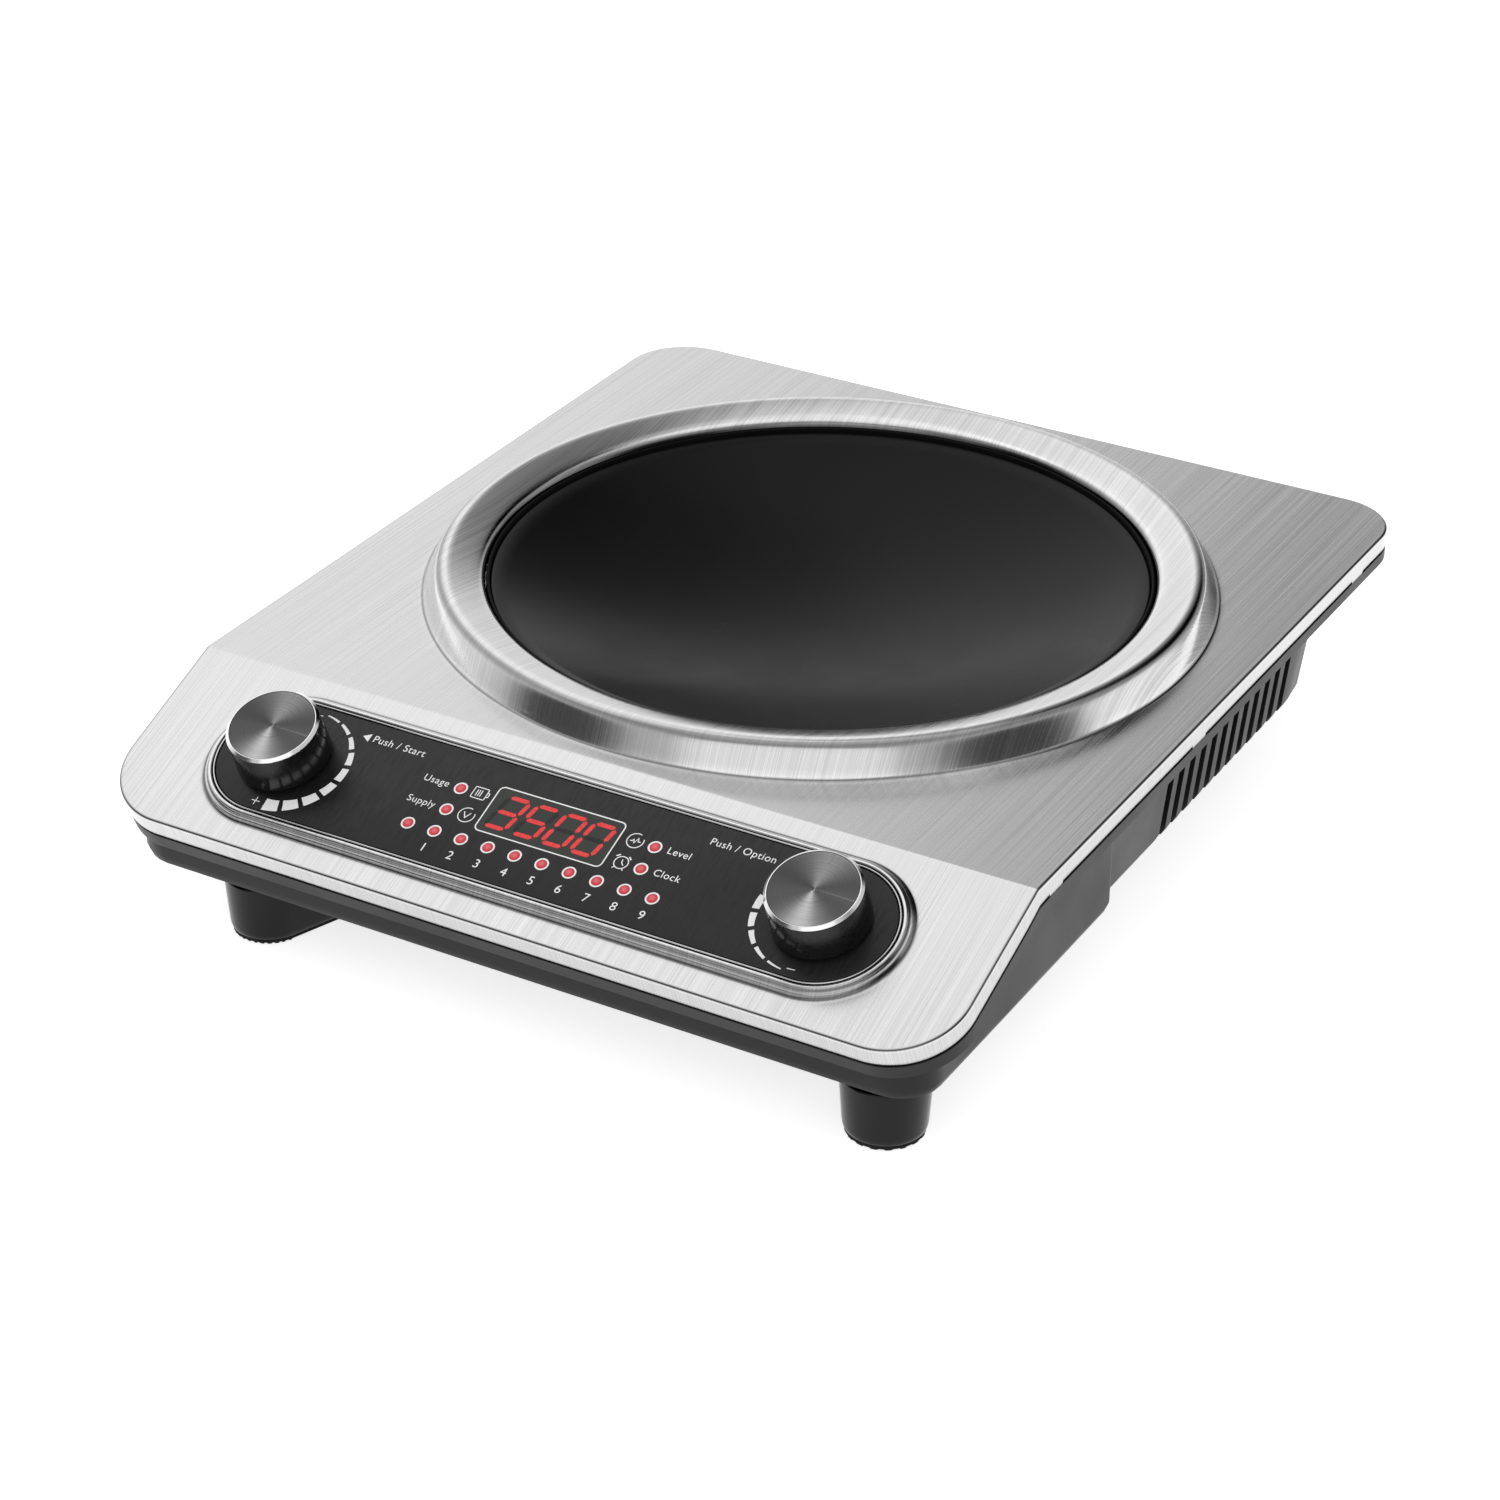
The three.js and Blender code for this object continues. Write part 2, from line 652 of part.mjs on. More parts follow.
function powerBoard() {
  const group = new THREE.Group();
  const plate = box(BOARD.x0, BOARD.x1, BOARD.y0, BOARD.y1, BOARD.bottom, BOARD.top);
  group.add(piece("power_board", plate, BOARD_GREEN));
  const on = (name, geometry, material, x, y, lift = GAP) => {
    const part = piece(name, geometry, material);
    part.position.set(x, y, BOARD.top + lift);
    group.add(part);
  };
  on("heat_sink", heatSink(60, 46, 4, 24), ALUMINIUM, -115, 15, 6.4);
  on("igbt_module", powerPackage(16, 21, 5.6), COMPONENT_BLACK, -132, 15);
  on("bridge_rectifier", powerPackage(22, 20, 5.6), COMPONENT_BLACK, -103, 15);
  on("dc_link_capacitor", capacitorBox(14, 28, 22), FILM_YELLOW, -72, 15);
  on("resonant_capacitor", capacitorBox(28, 22, 24), FILM_YELLOW, -46, 13);
  on("filter_capacitor", capacitorBox(13, 26, 20), FILM_YELLOW, -20, 15);
  on("supply_capacitor", rod(5, 0, 16, 16), COMPONENT_BLACK, 0, 15);
  on("filter_choke", choke(), COPPER, 30, 18);
  on("terminal_block", capacitorBox(30, 12, 11), BLACK_PLASTIC, -134, -36);
  return group;
}

function fanFrame() {
  const half = FAN.size / 2;
  const shell = cut(
    slab(plateShape(half, -half, half, 3, 3, 2), 0, FAN.height),
    rod(37.6, -1, FAN.height + 1, 32),
    ...LEG_SIGNS.map(([sx, sy]) => rod(2.2, -1, FAN.height + 1, 8).translate(sx * 36, sy * 36, 0)),
  );
  const struts = [box(-39, 39, -2, 2, 0, 2), box(-2, 2, -39, 39, 0, 2)];
  return join(shell, ...struts, rod(14, 0, 2.4, 20), rod(11, 0, 12, 20));
}

function fanImpeller() {
  const hub = turned([
    [11.6, 4],
    [15, 4],
    [15, 16.4],
    [13.6, 18],
    [0, 18],
    [0, 16.2],
    [11.6, 16.2],
  ], 20);
  const blades = [];
  const count = 7;
  const pitch = THREE.MathUtils.degToRad(52);
  for (let i = 0; i < count; i += 1) {
    const blade = new THREE.BoxGeometry(21.5, 1.6, 15).rotateX(pitch);
    blades.push(blade.translate(25.2, 0, 10.8).rotateZ((i * 2 * Math.PI) / count));
  }
  return join(hub, ...blades);
}

function fan() {
  const group = new THREE.Group();
  group.position.set(FAN.x, FAN.y, FAN.bottom);
  group.add(
    piece("fan_frame", fanFrame(), BLACK_PLASTIC),
    piece("fan_impeller", fanImpeller(), BLACK_PLASTIC),
  );
  return group;
}

// ---- Assembly -----------------------------------------------------------------------------
function piece(name, geometry, material) {
  const mesh = new THREE.Mesh(geometry, material);
  mesh.name = name;
  return mesh;
}

// Everything is placed from the fold: X across, Y behind it, Z above the level steel.
const planDepth = FLAT_DEPTH + SLOPE_LENGTH * Math.cos(SLOPE);
const fold = new THREE.Group();
fold.position.set(0, planDepth / 2 - FLAT_DEPTH, TOP_HEIGHT);

const slope = new THREE.Group();
slope.rotation.x = SLOPE;
slope.add(controlPanel(), knobGroup("left", -KNOB_X), knobGroup("right", KNOB_X));

const gland = piece("cord_gland", cordGland(), BLACK_PLASTIC);
const wallLean = ((RIM_TOP - GLAND.z) / (RIM_TOP - FLOOR_REAR)) * VENT_INSET;
gland.position.set(GLAND.x, HOUSING_BACK - wallLean, GLAND.z);

fold.add(
  piece("top_cover", topCover(), STEEL),
  piece("lower_housing", lowerHousing(), BLACK_PLASTIC),
  coilGroup(),
  slope,
  powerBoard(),
  fan(),
  feet(),
  gland,
);

const hob = new THREE.Group();
hob.add(fold);

export default hob;
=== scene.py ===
import math

import bpy
from mathutils import Matrix, Vector
from mathutils.geometry import tessellate_polygon


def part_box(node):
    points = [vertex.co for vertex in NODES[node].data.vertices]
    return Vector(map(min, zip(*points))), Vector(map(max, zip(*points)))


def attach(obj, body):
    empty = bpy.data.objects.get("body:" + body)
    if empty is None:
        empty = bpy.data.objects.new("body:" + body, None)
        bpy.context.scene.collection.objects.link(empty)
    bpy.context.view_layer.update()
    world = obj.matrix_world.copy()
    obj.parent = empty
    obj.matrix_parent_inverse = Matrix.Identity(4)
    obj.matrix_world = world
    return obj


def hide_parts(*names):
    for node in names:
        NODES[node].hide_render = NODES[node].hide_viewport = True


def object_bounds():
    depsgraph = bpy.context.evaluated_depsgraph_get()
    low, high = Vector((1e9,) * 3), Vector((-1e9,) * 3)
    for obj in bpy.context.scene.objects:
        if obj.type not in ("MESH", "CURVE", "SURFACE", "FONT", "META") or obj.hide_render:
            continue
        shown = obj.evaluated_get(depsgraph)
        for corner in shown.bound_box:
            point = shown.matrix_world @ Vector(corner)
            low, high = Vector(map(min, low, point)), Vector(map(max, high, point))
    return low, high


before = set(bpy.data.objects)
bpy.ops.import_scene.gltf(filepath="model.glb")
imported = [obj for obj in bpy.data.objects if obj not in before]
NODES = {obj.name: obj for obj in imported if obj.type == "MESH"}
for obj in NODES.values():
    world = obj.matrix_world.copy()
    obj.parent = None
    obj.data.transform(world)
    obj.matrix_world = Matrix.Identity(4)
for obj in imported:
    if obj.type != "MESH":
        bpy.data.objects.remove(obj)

CAD_LOW, CAD_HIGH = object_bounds()

# ---- Driving dimensions, in metres --------------------------------------------------------
MM = 0.001
WIDTH = CAD_HIGH.x - CAD_LOW.x
FLAT_DEPTH = 324.2 * MM
SLOPE_LENGTH = 78.4 * MM
SLOPE = math.radians(21.8)
TOP_Z = 78 * MM
FOLD_Y = CAD_HIGH.y - FLAT_DEPTH
BACK_RADIUS = 25 * MM
FRONT_RADIUS = 28 * MM
BOWL_T = 157 * MM  # centre of the glass, behind the fold
GLASS_RADIUS = 124.5 * MM
GLASS_SAG = 26 * MM
GLASS_RIM = 4.6 * MM
PANEL_S = 38.3 * MM  # middle line of the panel, down the slope
PANEL_END_X = 110 * MM
FASCIA_TOP = 3 * MM
KNOB_X = 109 * MM

# ---- Frames -------------------------------------------------------------------------------
FOLD = Matrix.Translation((0, FOLD_Y, TOP_Z))
PANEL = FOLD @ Matrix.Rotation(SLOPE, 4, "X")  # x across, y up the slope, z out of it
BOWL = FOLD @ Matrix.Translation((0, BOWL_T, 0))


def knob_frame(side):
    return PANEL @ Matrix.Translation((side * KNOB_X, -PANEL_S, 0))


# ---- Colour and node helpers --------------------------------------------------------------
def linear(grey_or_rgb):
    """8-bit display values as linear colour."""
    values = grey_or_rgb if isinstance(grey_or_rgb, tuple) else (grey_or_rgb,) * 3

    def channel(value):
        c = value / 255
        return c / 12.92 if c <= 0.04045 else ((c + 0.055) / 1.055) ** 2.4

    return tuple(channel(v) for v in values) + (1.0,)


class Nodes:
    """A material with a Principled shader, and short calls that add nodes to it."""

    def __init__(self, name):
        self.material = bpy.data.materials.new(name)
        self.material.use_nodes = True
        self.tree = self.material.node_tree
        self.shader = self.tree.nodes["Principled BSDF"]

    def add(self, kind, **settings):
        node = self.tree.nodes.new(kind)
        for key, value in settings.items():
            setattr(node, key, value)
        return node

    def link(self, source, target):
        self.tree.links.new(source, target)

    def coordinates(self, scale, kind="Object"):
        """Object or UV coordinates, scaled along each axis."""
        source = self.add("ShaderNodeTexCoord").outputs[kind]
        mapping = self.add("ShaderNodeMapping")
        mapping.inputs["Scale"].default_value = scale
        self.link(source, mapping.inputs["Vector"])
        return mapping.outputs["Vector"]

    def noise(self, vector, scale=1.0, detail=3.0, roughness=0.55):
        node = self.add("ShaderNodeTexNoise")
        node.inputs["Scale"].default_value = scale
        node.inputs["Detail"].default_value = detail
        node.inputs["Roughness"].default_value = roughness
        self.link(vector, node.inputs["Vector"])
        return node.outputs["Fac"]

    def ramp(self, value, low, high, at=(0.35, 0.65)):
        """A value stretched between two values."""
        node = self.add("ShaderNodeMapRange")
        node.inputs["From Min"].default_value = at[0]
        node.inputs["From Max"].default_value = at[1]
        node.inputs["To Min"].default_value = low
        node.inputs["To Max"].default_value = high
        self.link(value, node.inputs["Value"])
        return node.outputs["Result"]

    def blend(self, factor, low, high):
        """A colour between two, by a factor."""
        node = self.add("ShaderNodeMix", data_type="RGBA")
        self.link(factor, node.inputs["Factor"])
        for socket, colour in (("A", low), ("B", high)):
            target = [i for i in node.inputs if i.name == socket and i.type == "RGBA"][0]
            if isinstance(colour, tuple):
                target.default_value = colour
            else:
                self.link(colour, target)
        return [o for o in node.outputs if o.type == "RGBA"][0]

    def bump(self, height, strength, distance, onto=None):
        node = self.add("ShaderNodeBump")
        node.inputs["Strength"].default_value = strength
        node.inputs["Distance"].default_value = distance
        self.link(height, node.inputs["Height"])
        if onto is not None:
            self.link(onto, node.inputs["Normal"])
        self.link(node.outputs["Normal"], self.shader.inputs["Normal"])
        return node.outputs["Normal"]

    def set(self, **values):
        for key, value in values.items():
            self.shader.inputs[key.replace("_", " ")].default_value = value


# ---- Materials ----------------------------------------------------------------------------
def brushed_steel():
    """Steel brushed from front to back: streaks that are narrow across and long along. The
    mesh's shade attribute is painted shade and painted highlight: it multiplies the base colour,
    darkening tight bends and brightening crests. Its dullness multiplies the roughness. Both are
    chosen for their look, not measured."""
    m = Nodes("brushed_steel")
    fine = m.noise(m.coordinates((2000, 5, 1), "UV"), detail=3, roughness=0.65)
    broad = m.noise(m.coordinates((330, 2.5, 1), "UV"), detail=2)
    scratch = m.ramp(m.noise(m.coordinates((2400, 14, 1), "UV"), detail=1), 0, 0.16, (0.62, 0.78))
    streaks = m.add("ShaderNodeMath", operation="MULTIPLY_ADD")
    streaks.inputs[1].default_value = 0.25
    m.link(broad, streaks.inputs[0])
    m.link(m.ramp(fine, 0, 0.75, (0.1, 0.9)), streaks.inputs[2])
    scratched = m.add("ShaderNodeMath", operation="ADD")
    m.link(streaks.outputs[0], scratched.inputs[0])
    m.link(scratch, scratched.inputs[1])
    grain = scratched.outputs[0]
    tone = m.blend(m.ramp(grain, 0, 1, (0.28, 0.74)), linear(188), linear(230))
    # Painted shade and painted highlight: the shade attribute darkens bends and brightens crests.
    shade = m.add("ShaderNodeAttribute", attribute_name="shade").outputs["Fac"]
    painted_light_tone = m.add("ShaderNodeMix", data_type="RGBA", blend_type="MULTIPLY")
    painted_light_tone.inputs[0].default_value = 1.0
    m.link(tone, painted_light_tone.inputs[6])
    m.link(shade, painted_light_tone.inputs[7])
    m.link(painted_light_tone.outputs[2], m.shader.inputs["Base Color"])
    dull = m.add("ShaderNodeMath", operation="MULTIPLY")
    m.link(m.ramp(grain, 0.15, 0.28), dull.inputs[0])
    m.link(m.add("ShaderNodeAttribute", attribute_name="dullness").outputs["Fac"], dull.inputs[1])
    m.link(dull.outputs[0], m.shader.inputs["Roughness"])
    m.bump(grain, 0.25, 0.00008)
    m.set(Metallic=1.0, Anisotropic=0.5)
    tangent = m.add("ShaderNodeTangent", direction_type="UV_MAP", uv_map="UVMap")
    m.link(tangent.outputs["Tangent"], m.shader.inputs["Tangent"])
    return m.material


def moulded_plastic(name, grey, roughness, specular=0.5):
    """Black moulding: fine spark-eroded grain, slight cloudiness and handling marks."""
    m = Nodes(name)
    grain = m.noise(m.coordinates((2200, 2200, 2200)), detail=2)
    cloud = m.noise(m.coordinates((22, 22, 22)), detail=4)
    shade = m.ramp(cloud, 0, 1, (0.3, 0.7))
    m.link(m.blend(shade, linear(grey - 3), linear(grey + 4)), m.shader.inputs["Base Color"])
    m.link(m.ramp(cloud, roughness - 0.05, roughness + 0.06), m.shader.inputs["Roughness"])
    m.bump(grain, 0.12, 0.00005)
    m.set(Specular_IOR_Level=specular)
    return m.material


def smooth_surface(name, colour, other, roughness, metallic=0.0, **settings):
    """A smooth finish whose colour and gloss drift a little over the surface."""
    m = Nodes(name)
    cloud = m.noise(m.coordinates((35, 35, 35)), detail=3)
    marks = m.noise(m.coordinates((900, 140, 600)), detail=2)
    m.link(m.blend(m.ramp(cloud, 0, 1), linear(colour), linear(other)), m.shader.inputs["Base Color"])
    spread = roughness * 0.3
    m.link(m.ramp(marks, roughness - spread, roughness + spread), m.shader.inputs["Roughness"])
    m.bump(marks, 0.03, 0.00001)
    m.set(Metallic=metallic, **settings)
    return m.material


def glass_ceramic():
    """Opaque black glass ceramic: polished, with a faint speckle under the surface."""
    m = Nodes("black_glass_ceramic")
    speckle = m.noise(m.coordinates((5200, 5200, 5200)), detail=1)
    haze = m.noise(m.coordinates((14, 14, 14)), detail=3)
    dots = m.ramp(speckle, 0, 1, (0.62, 0.75))
    m.link(m.blend(dots, linear(16), linear(30)), m.shader.inputs["Base Color"])
    m.link(m.ramp(haze, 0.2, 0.3), m.shader.inputs["Roughness"])
    m.set(Specular_IOR_Level=0.1)
    return m.material


def spun_aluminium():
    """A lathe-turned face: fine rings round the axis, and light and dark wedges of painted
    reflection in its colour, which turn with the knob. Its UV is distance out from the middle and
    share of a turn."""
    m = Nodes("spun_aluminium")
    rings = m.noise(m.coordinates((9000, 2, 1), "UV"), detail=3)
    split = m.add("ShaderNodeSeparateXYZ")
    m.link(m.coordinates((1, 1, 1), "UV"), split.inputs[0])
    # Painted reflection: light and dark wedges in the colour, by share of a turn.
    wedges = m.add("ShaderNodeValToRGB")
    stops = [(0.0, 96), (0.07, 70), (0.16, 108), (0.25, 150), (0.33, 104), (0.45, 62), (0.55, 92),
             (0.62, 80), (0.7, 116), (0.77, 206), (0.83, 120), (0.92, 74), (1.0, 96)]
    ramp = wedges.color_ramp
    ramp.interpolation = "B_SPLINE"
    while len(ramp.elements) < len(stops):
        ramp.elements.new(0.5)
    for element, (place, grey) in zip(ramp.elements, stops):
        element.position = place
        element.color = linear(grey)
    m.link(split.outputs["Y"], wedges.inputs["Fac"])
    turned_rings = m.add("ShaderNodeMix", data_type="RGBA", blend_type="MULTIPLY")
    turned_rings.inputs[0].default_value = 1.0
    m.link(wedges.outputs["Color"], turned_rings.inputs[6])
    m.link(m.blend(m.ramp(rings, 0, 1), (0.75, 0.75, 0.75, 1), (1.15, 1.15, 1.15, 1)),
           turned_rings.inputs[7])
    m.link(turned_rings.outputs[2], m.shader.inputs["Base Color"])
    m.link(m.ramp(rings, 0.26, 0.36), m.shader.inputs["Roughness"])
    m.bump(rings, 0.15, 0.00003)
    m.set(Metallic=1.0, Anisotropic=0.8)
    tangent = m.add("ShaderNodeTangent", direction_type="RADIAL", axis="Z")
    m.link(tangent.outputs["Tangent"], m.shader.inputs["Tangent"])
    return m.material


def lamp_lens():
    """A lit red lens, palest at its middle; its UV runs from the middle to the edge."""
    m = Nodes("lamp_lens")
    uv = m.add("ShaderNodeTexCoord").outputs["UV"]
    split = m.add("ShaderNodeSeparateXYZ")
    m.link(uv, split.inputs[0])
    grain = m.noise(m.coordinates((4000, 4000, 4000)), detail=1)
    jitter = m.add("ShaderNodeMath", operation="MULTIPLY_ADD")
    jitter.inputs[1].default_value = 0.25
    m.link(grain, jitter.inputs[0])
    m.link(split.outputs["X"], jitter.inputs[2])
    middle = m.ramp(jitter.outputs[0], 1, 0, (0.1, 1.0))
    glow = m.blend(middle, linear((186, 26, 38)), linear((224, 104, 112)))
    m.link(glow, m.shader.inputs["Base Color"])
    m.link(glow, m.shader.inputs["Emission Color"])
    m.set(Emission_Strength=0.26, Roughness=0.35)
    return m.material


def lit_segment():
    m = Nodes("display_segment_lit")
    cloud = m.noise(m.coordinates((900, 900, 900)), detail=2)
    glow = m.blend(m.ramp(cloud, 0, 1), linear((196, 30, 34)), linear((214, 48, 46)))
    m.link(glow, m.shader.inputs["Base Color"])
    m.link(glow, m.shader.inputs["Emission Color"])
    m.set(Emission_Strength=0.42, Roughness=0.4)
    return m.material


def coil_windings():
    """Enamelled copper, a little clouded."""
    m = Nodes("coil_copper")
    cloud = m.noise(m.coordinates((300, 300, 300)), detail=2)
    m.link(m.blend(cloud, linear((120, 58, 30)), linear((196, 112, 66))), m.shader.inputs["Base Color"])
    m.bump(cloud, 0.3, 0.0004)
    m.set(Metallic=0.9, Roughness=0.38)
    return m.material


STEEL = brushed_steel()
HOUSING = moulded_plastic("housing_plastic", 19, 0.36, 0.26)
FOOT = moulded_plastic("foot_plastic", 9, 0.2, 0.24)
RUBBER = moulded_plastic("sole_rubber", 26, 0.8, 0.3)
SILICONE = moulded_plastic("seal_silicone", 8, 0.7, 0.12)
FASCIA = smooth_surface("fascia_film", 26, 30, 0.36, Specular_IOR_Level=0.3)
GLASS = glass_ceramic()
CHROME = smooth_surface("trim_chrome", 200, 214, 0.16, 1.0)
KNOB_BLACK = smooth_surface("knob_black", 16, 20, 0.2, Specular_IOR_Level=0.6)
KNOB_CHAMFER = smooth_surface("knob_chamfer", 244, 252, 0.12, 1.0)
KNOB_MARK = smooth_surface("knob_mark", 126, 134, 0.3, 1.0)
SPUN = spun_aluminium()
# The white print glows a little: painted light on a print that is no lamp.
WHITE_PRINT = smooth_surface("white_print", 240, 250, 0.6, Emission_Color=(1, 1, 1, 1),
                             Emission_Strength=0.12)
LAMP = lamp_lens()
SMOKED = smooth_surface("display_filter", (46, 50, 46), (52, 56, 52), 0.3,
                        Specular_IOR_Level=0.3)
LIT = lit_segment()
UNLIT = smooth_surface("display_segment_unlit", 36, 40, 0.4, Specular_IOR_Level=0.25)
BOARD = smooth_surface("board_mask", (22, 92, 48), (30, 112, 60), 0.4)
COMPONENT = smooth_surface("component_epoxy", 26, 34, 0.45)
FILM = smooth_surface("film_capacitor_case", (196, 142, 34), (214, 164, 52), 0.4)
HEAT_SINK = smooth_surface("extruded_aluminium", 176, 196, 0.34, 1.0)
PLATED = smooth_surface("plated_steel", 178, 198, 0.28, 1.0)
MICA = smooth_surface("mica_sheet", (196, 184, 150), (214, 204, 176), 0.55)
FERRITE = moulded_plastic("ferrite_ceramic", 48, 0.7)
CARRIER = moulded_plastic("carrier_plastic", 186, 0.6)
COIL = coil_windings()
GUIDE = smooth_surface("lamp_guide", (190, 60, 66), (206, 74, 78), 0.4)


# ---- Mesh helpers -------------------------------------------------------------------------
def piece(name, verts, faces, material, body, slot, replaces=(), uvs=None, sharp=30, matrix=None,
          shades=None, dullness=None):
    """A mesh piece that rides on a body. The lists hold a value for each vertex."""
    mesh = bpy.data.meshes.new(name)
    mesh.from_pydata([tuple(v) for v in verts], [], faces)
    if uvs is not None:
        layer = mesh.uv_layers.new(name="UVMap")
        for loop in mesh.loops:
            layer.data[loop.index].uv = uvs[loop.vertex_index]
    for label, values in (("shade", shades), ("dullness", dullness)):
        if values is not None:
            attribute = mesh.attributes.new(label, "FLOAT", "POINT")
            attribute.data.foreach_set("value", values)
    for polygon in mesh.polygons:
        polygon.use_smooth = True
    mesh.set_sharp_from_angle(angle=math.radians(sharp))
    mesh.materials.append(material)
    made = bpy.data.objects.new(name, mesh)
    bpy.context.scene.collection.objects.link(made)
    if matrix is not None:
        made.matrix_world = matrix
    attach(made, body)
    if replaces:
        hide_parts(*replaces)
    return made


class Builder:
    """Collects the vertices, faces, UVs, painted shades and dullness of one mesh."""

    def __init__(self):
        self.verts = []
        self.faces = []
        self.uvs = []
        self.shades = []
        self.dullness = []

    def point(self, position, uv=(0.0, 0.0), shade=1.0, dull=1.0):
        self.verts.append(Vector(position))
        self.uvs.append(uv)
        self.shades.append(shade)
        self.dullness.append(dull)
        return len(self.verts) - 1

    def loop(self, positions, uvs=None, shade=1.0, dull=1.0):
        uvs = uvs or [(0.0, 0.0)] * len(positions)
        return [self.point(p, uv, shade, dull) for p, uv in zip(positions, uvs)]

    def bridge(self, first, second, closed=True):
        """Quads between two rows of the same length; the outside is on the left going along
        the first row with the second row above it."""
        count = len(first)
        for i in range(count if closed else count - 1):
            j = (i + 1) % count
            self.faces.append((first[i], first[j], second[j], second[i]))

    def skin(self, rows, closed=True):
        """Faces between each row and the next; a row of one vertex is the tip of a fan."""
        for first, second in zip(rows, rows[1:]):
            if len(first) == 1:
                pairs = zip(second, second[1:] + second[:1])
                self.faces += [(first[0], after, before) for before, after in pairs]
            elif len(second) == 1:
                pairs = zip(first, first[1:] + first[:1])
                self.faces += [(before, after, second[0]) for before, after in pairs]
            else:
                self.bridge(first, second, closed)

    def fill(self, outer, holes=(), flip=False):
        """A flat face with holes, as triangles, from rows of vertex indices."""
        rings = [outer, *holes]
        flat = [index for ring in rings for index in ring]
        triangles = tessellate_polygon([[self.verts[i] for i in ring] for ring in rings])
        for a, b, c in triangles:
            corner = [flat[a], flat[b], flat[c]]
            self.faces.append(tuple(reversed(corner)) if flip else tuple(corner))


def circle(radius, height, sides, half_span=0.0):
    """Points round Z, anticlockwise from above; half_span draws the circle out along X."""
    points = []
    for i in range(sides):
        angle = (i + 0.5) * 2 * math.pi / sides
        x = radius * math.cos(angle)
        points.append(Vector((x + math.copysign(half_span, x), radius * math.sin(angle), height)))
    return points


def arc(centre, radius, start, end, steps):
    """Points of a profile along an arc, angles in degrees."""
    points = []
    for i in range(steps + 1):
        angle = math.radians(start + (end - start) * i / steps)
        points.append((centre[0] + radius * math.cos(angle), centre[1] + radius * math.sin(angle)))
    return points


def turned(builder, profile, sides, half_span=0.0, closed=False):
    """Turns a profile of (radius, height), in millimetres, round Z. It runs anticlockwise in
    its half plane. A radius of 0 is one vertex. UV: distance along the profile, share of a turn."""
    rows = []
    along = 0.0
    previous = profile[0]
    for radius, height in profile:
        along += math.hypot(radius - previous[0], height - previous[1]) * MM
        previous = (radius, height)
        if radius == 0:
            rows.append([builder.point((0, 0, height * MM), (along, 0.5))])
            continue
        points = circle(radius * MM, height * MM, sides, half_span)
        rows.append(builder.loop(points, [(along, i / sides) for i in range(sides)]))
    if closed:
        rows.append(rows[0])
    builder.skin(rows)


def turned_piece(name, profile, sides, matrix, material, body, slot, half_span=0.0, **options):
    closed = options.pop("closed", False)
    builder = Builder()
    turned(builder, profile, sides, half_span, closed)
    return piece(name, builder.verts, builder.faces, material, body, slot,
                 uvs=builder.uvs, matrix=matrix, **options)


# ---- Pressed steel cover ------------------------------------------------------------------
BEND = 3 * MM  # outer radius of the fold
TAB_RANGES = [(8.5, 18), (123, 133.5), (270, 280)]  # of the locking tabs, millimetres behind it


def sheet_point(x, t, height=0.0):
    """A point of the sheet: t is the distance behind the fold, negative on the slope, and
    height is out of the steel."""
    reach = BEND * SLOPE / 2
    tangent = BEND * math.tan(SLOPE / 2)
    if t >= reach:
        return FOLD @ Vector((x, t - reach + tangent, height))
    if t <= -reach:
        return PANEL @ Vector((x, t + reach - tangent, height))
    angle = (reach - t) / BEND
    radius = BEND + height
    return FOLD @ Vector((x, tangent - radius * math.sin(angle), radius * math.cos(angle) - BEND))


def outline_corner(cx, ct, radius, start, inset):
    """A quarter turn of the outline from the angle start, in degrees."""
    points = []
    for i in range(25):
        angle = math.radians(start + 90 * i / 24)
        out = (math.cos(angle), math.sin(angle))
        reach = radius - inset
        points.append((cx + out[0] * reach, ct + out[1] * reach, *out))
    return points


def outline(inset):
    """The sheet's edge drawn in by inset, as (x, t, outward x, outward t), anticlockwise from
    the fold on the right. The number of points doesn't depend on the inset."""
    half = WIDTH / 2 - inset
    back_x, back_t = WIDTH / 2 - BACK_RADIUS, FLAT_DEPTH - BACK_RADIUS
    front_x, front_t = WIDTH / 2 - FRONT_RADIUS, FRONT_RADIUS - SLOPE_LENGTH
    bend_rows = [BEND * SLOPE / 2 * (1 - i / 2) for i in range(5)]
    slope_rows = [t * MM for t in (-2, -4, -10, -20, -30, -40)]
    tabs = [edge + step for span in TAB_RANGES for edge in span for step in (-0.4, 0, 0.4)]
    flat_rows = [t * MM for t in sorted([2, 4, 30, 60, 200] + tabs)]

    points = [(half, t, 1, 0) for t in flat_rows]
    points += outline_corner(back_x, back_t, BACK_RADIUS, 0, inset)
    points += outline_corner(-back_x, back_t, BACK_RADIUS, 90, inset)
    points += [(-half, t, -1, 0) for t in flat_rows[::-1] + bend_rows + slope_rows]
    points += outline_corner(-front_x, front_t, FRONT_RADIUS, 180, inset)
    points += outline_corner(front_x, front_t, FRONT_RADIUS, 270, inset)
    points += [(half, t, 1, 0) for t in slope_rows[::-1] + bend_rows[::-1]]
    return points


def smoothstep(value, low, high):
    share = min(1.0, max(0.0, (value - low) / (high - low)))
    return share * share * (3 - 2 * share)


def skirt_drop(x, t, tabs=True):
    """Direction and depth of the bent edge: square to the steel, easing round the fold, and a
    little deeper at the three locking tabs of each side."""
    lean = SLOPE * (1 - smoothstep(t, -46 * MM, 24 * MM))
    depth = (7.7 - 1.4 * smoothstep(t, -14 * MM, 14 * MM)) * MM
    surface = SLOPE if t < 0 else 0.0
    for low, high in TAB_RANGES:
        if tabs and abs(x) > WIDTH / 2 - 3 * MM and low * MM <= t <= high * MM:
            depth += 1.0 * MM
    direction = Vector((0, math.sin(lean), -math.cos(lean)))
    return direction, depth / math.cos(surface - lean)
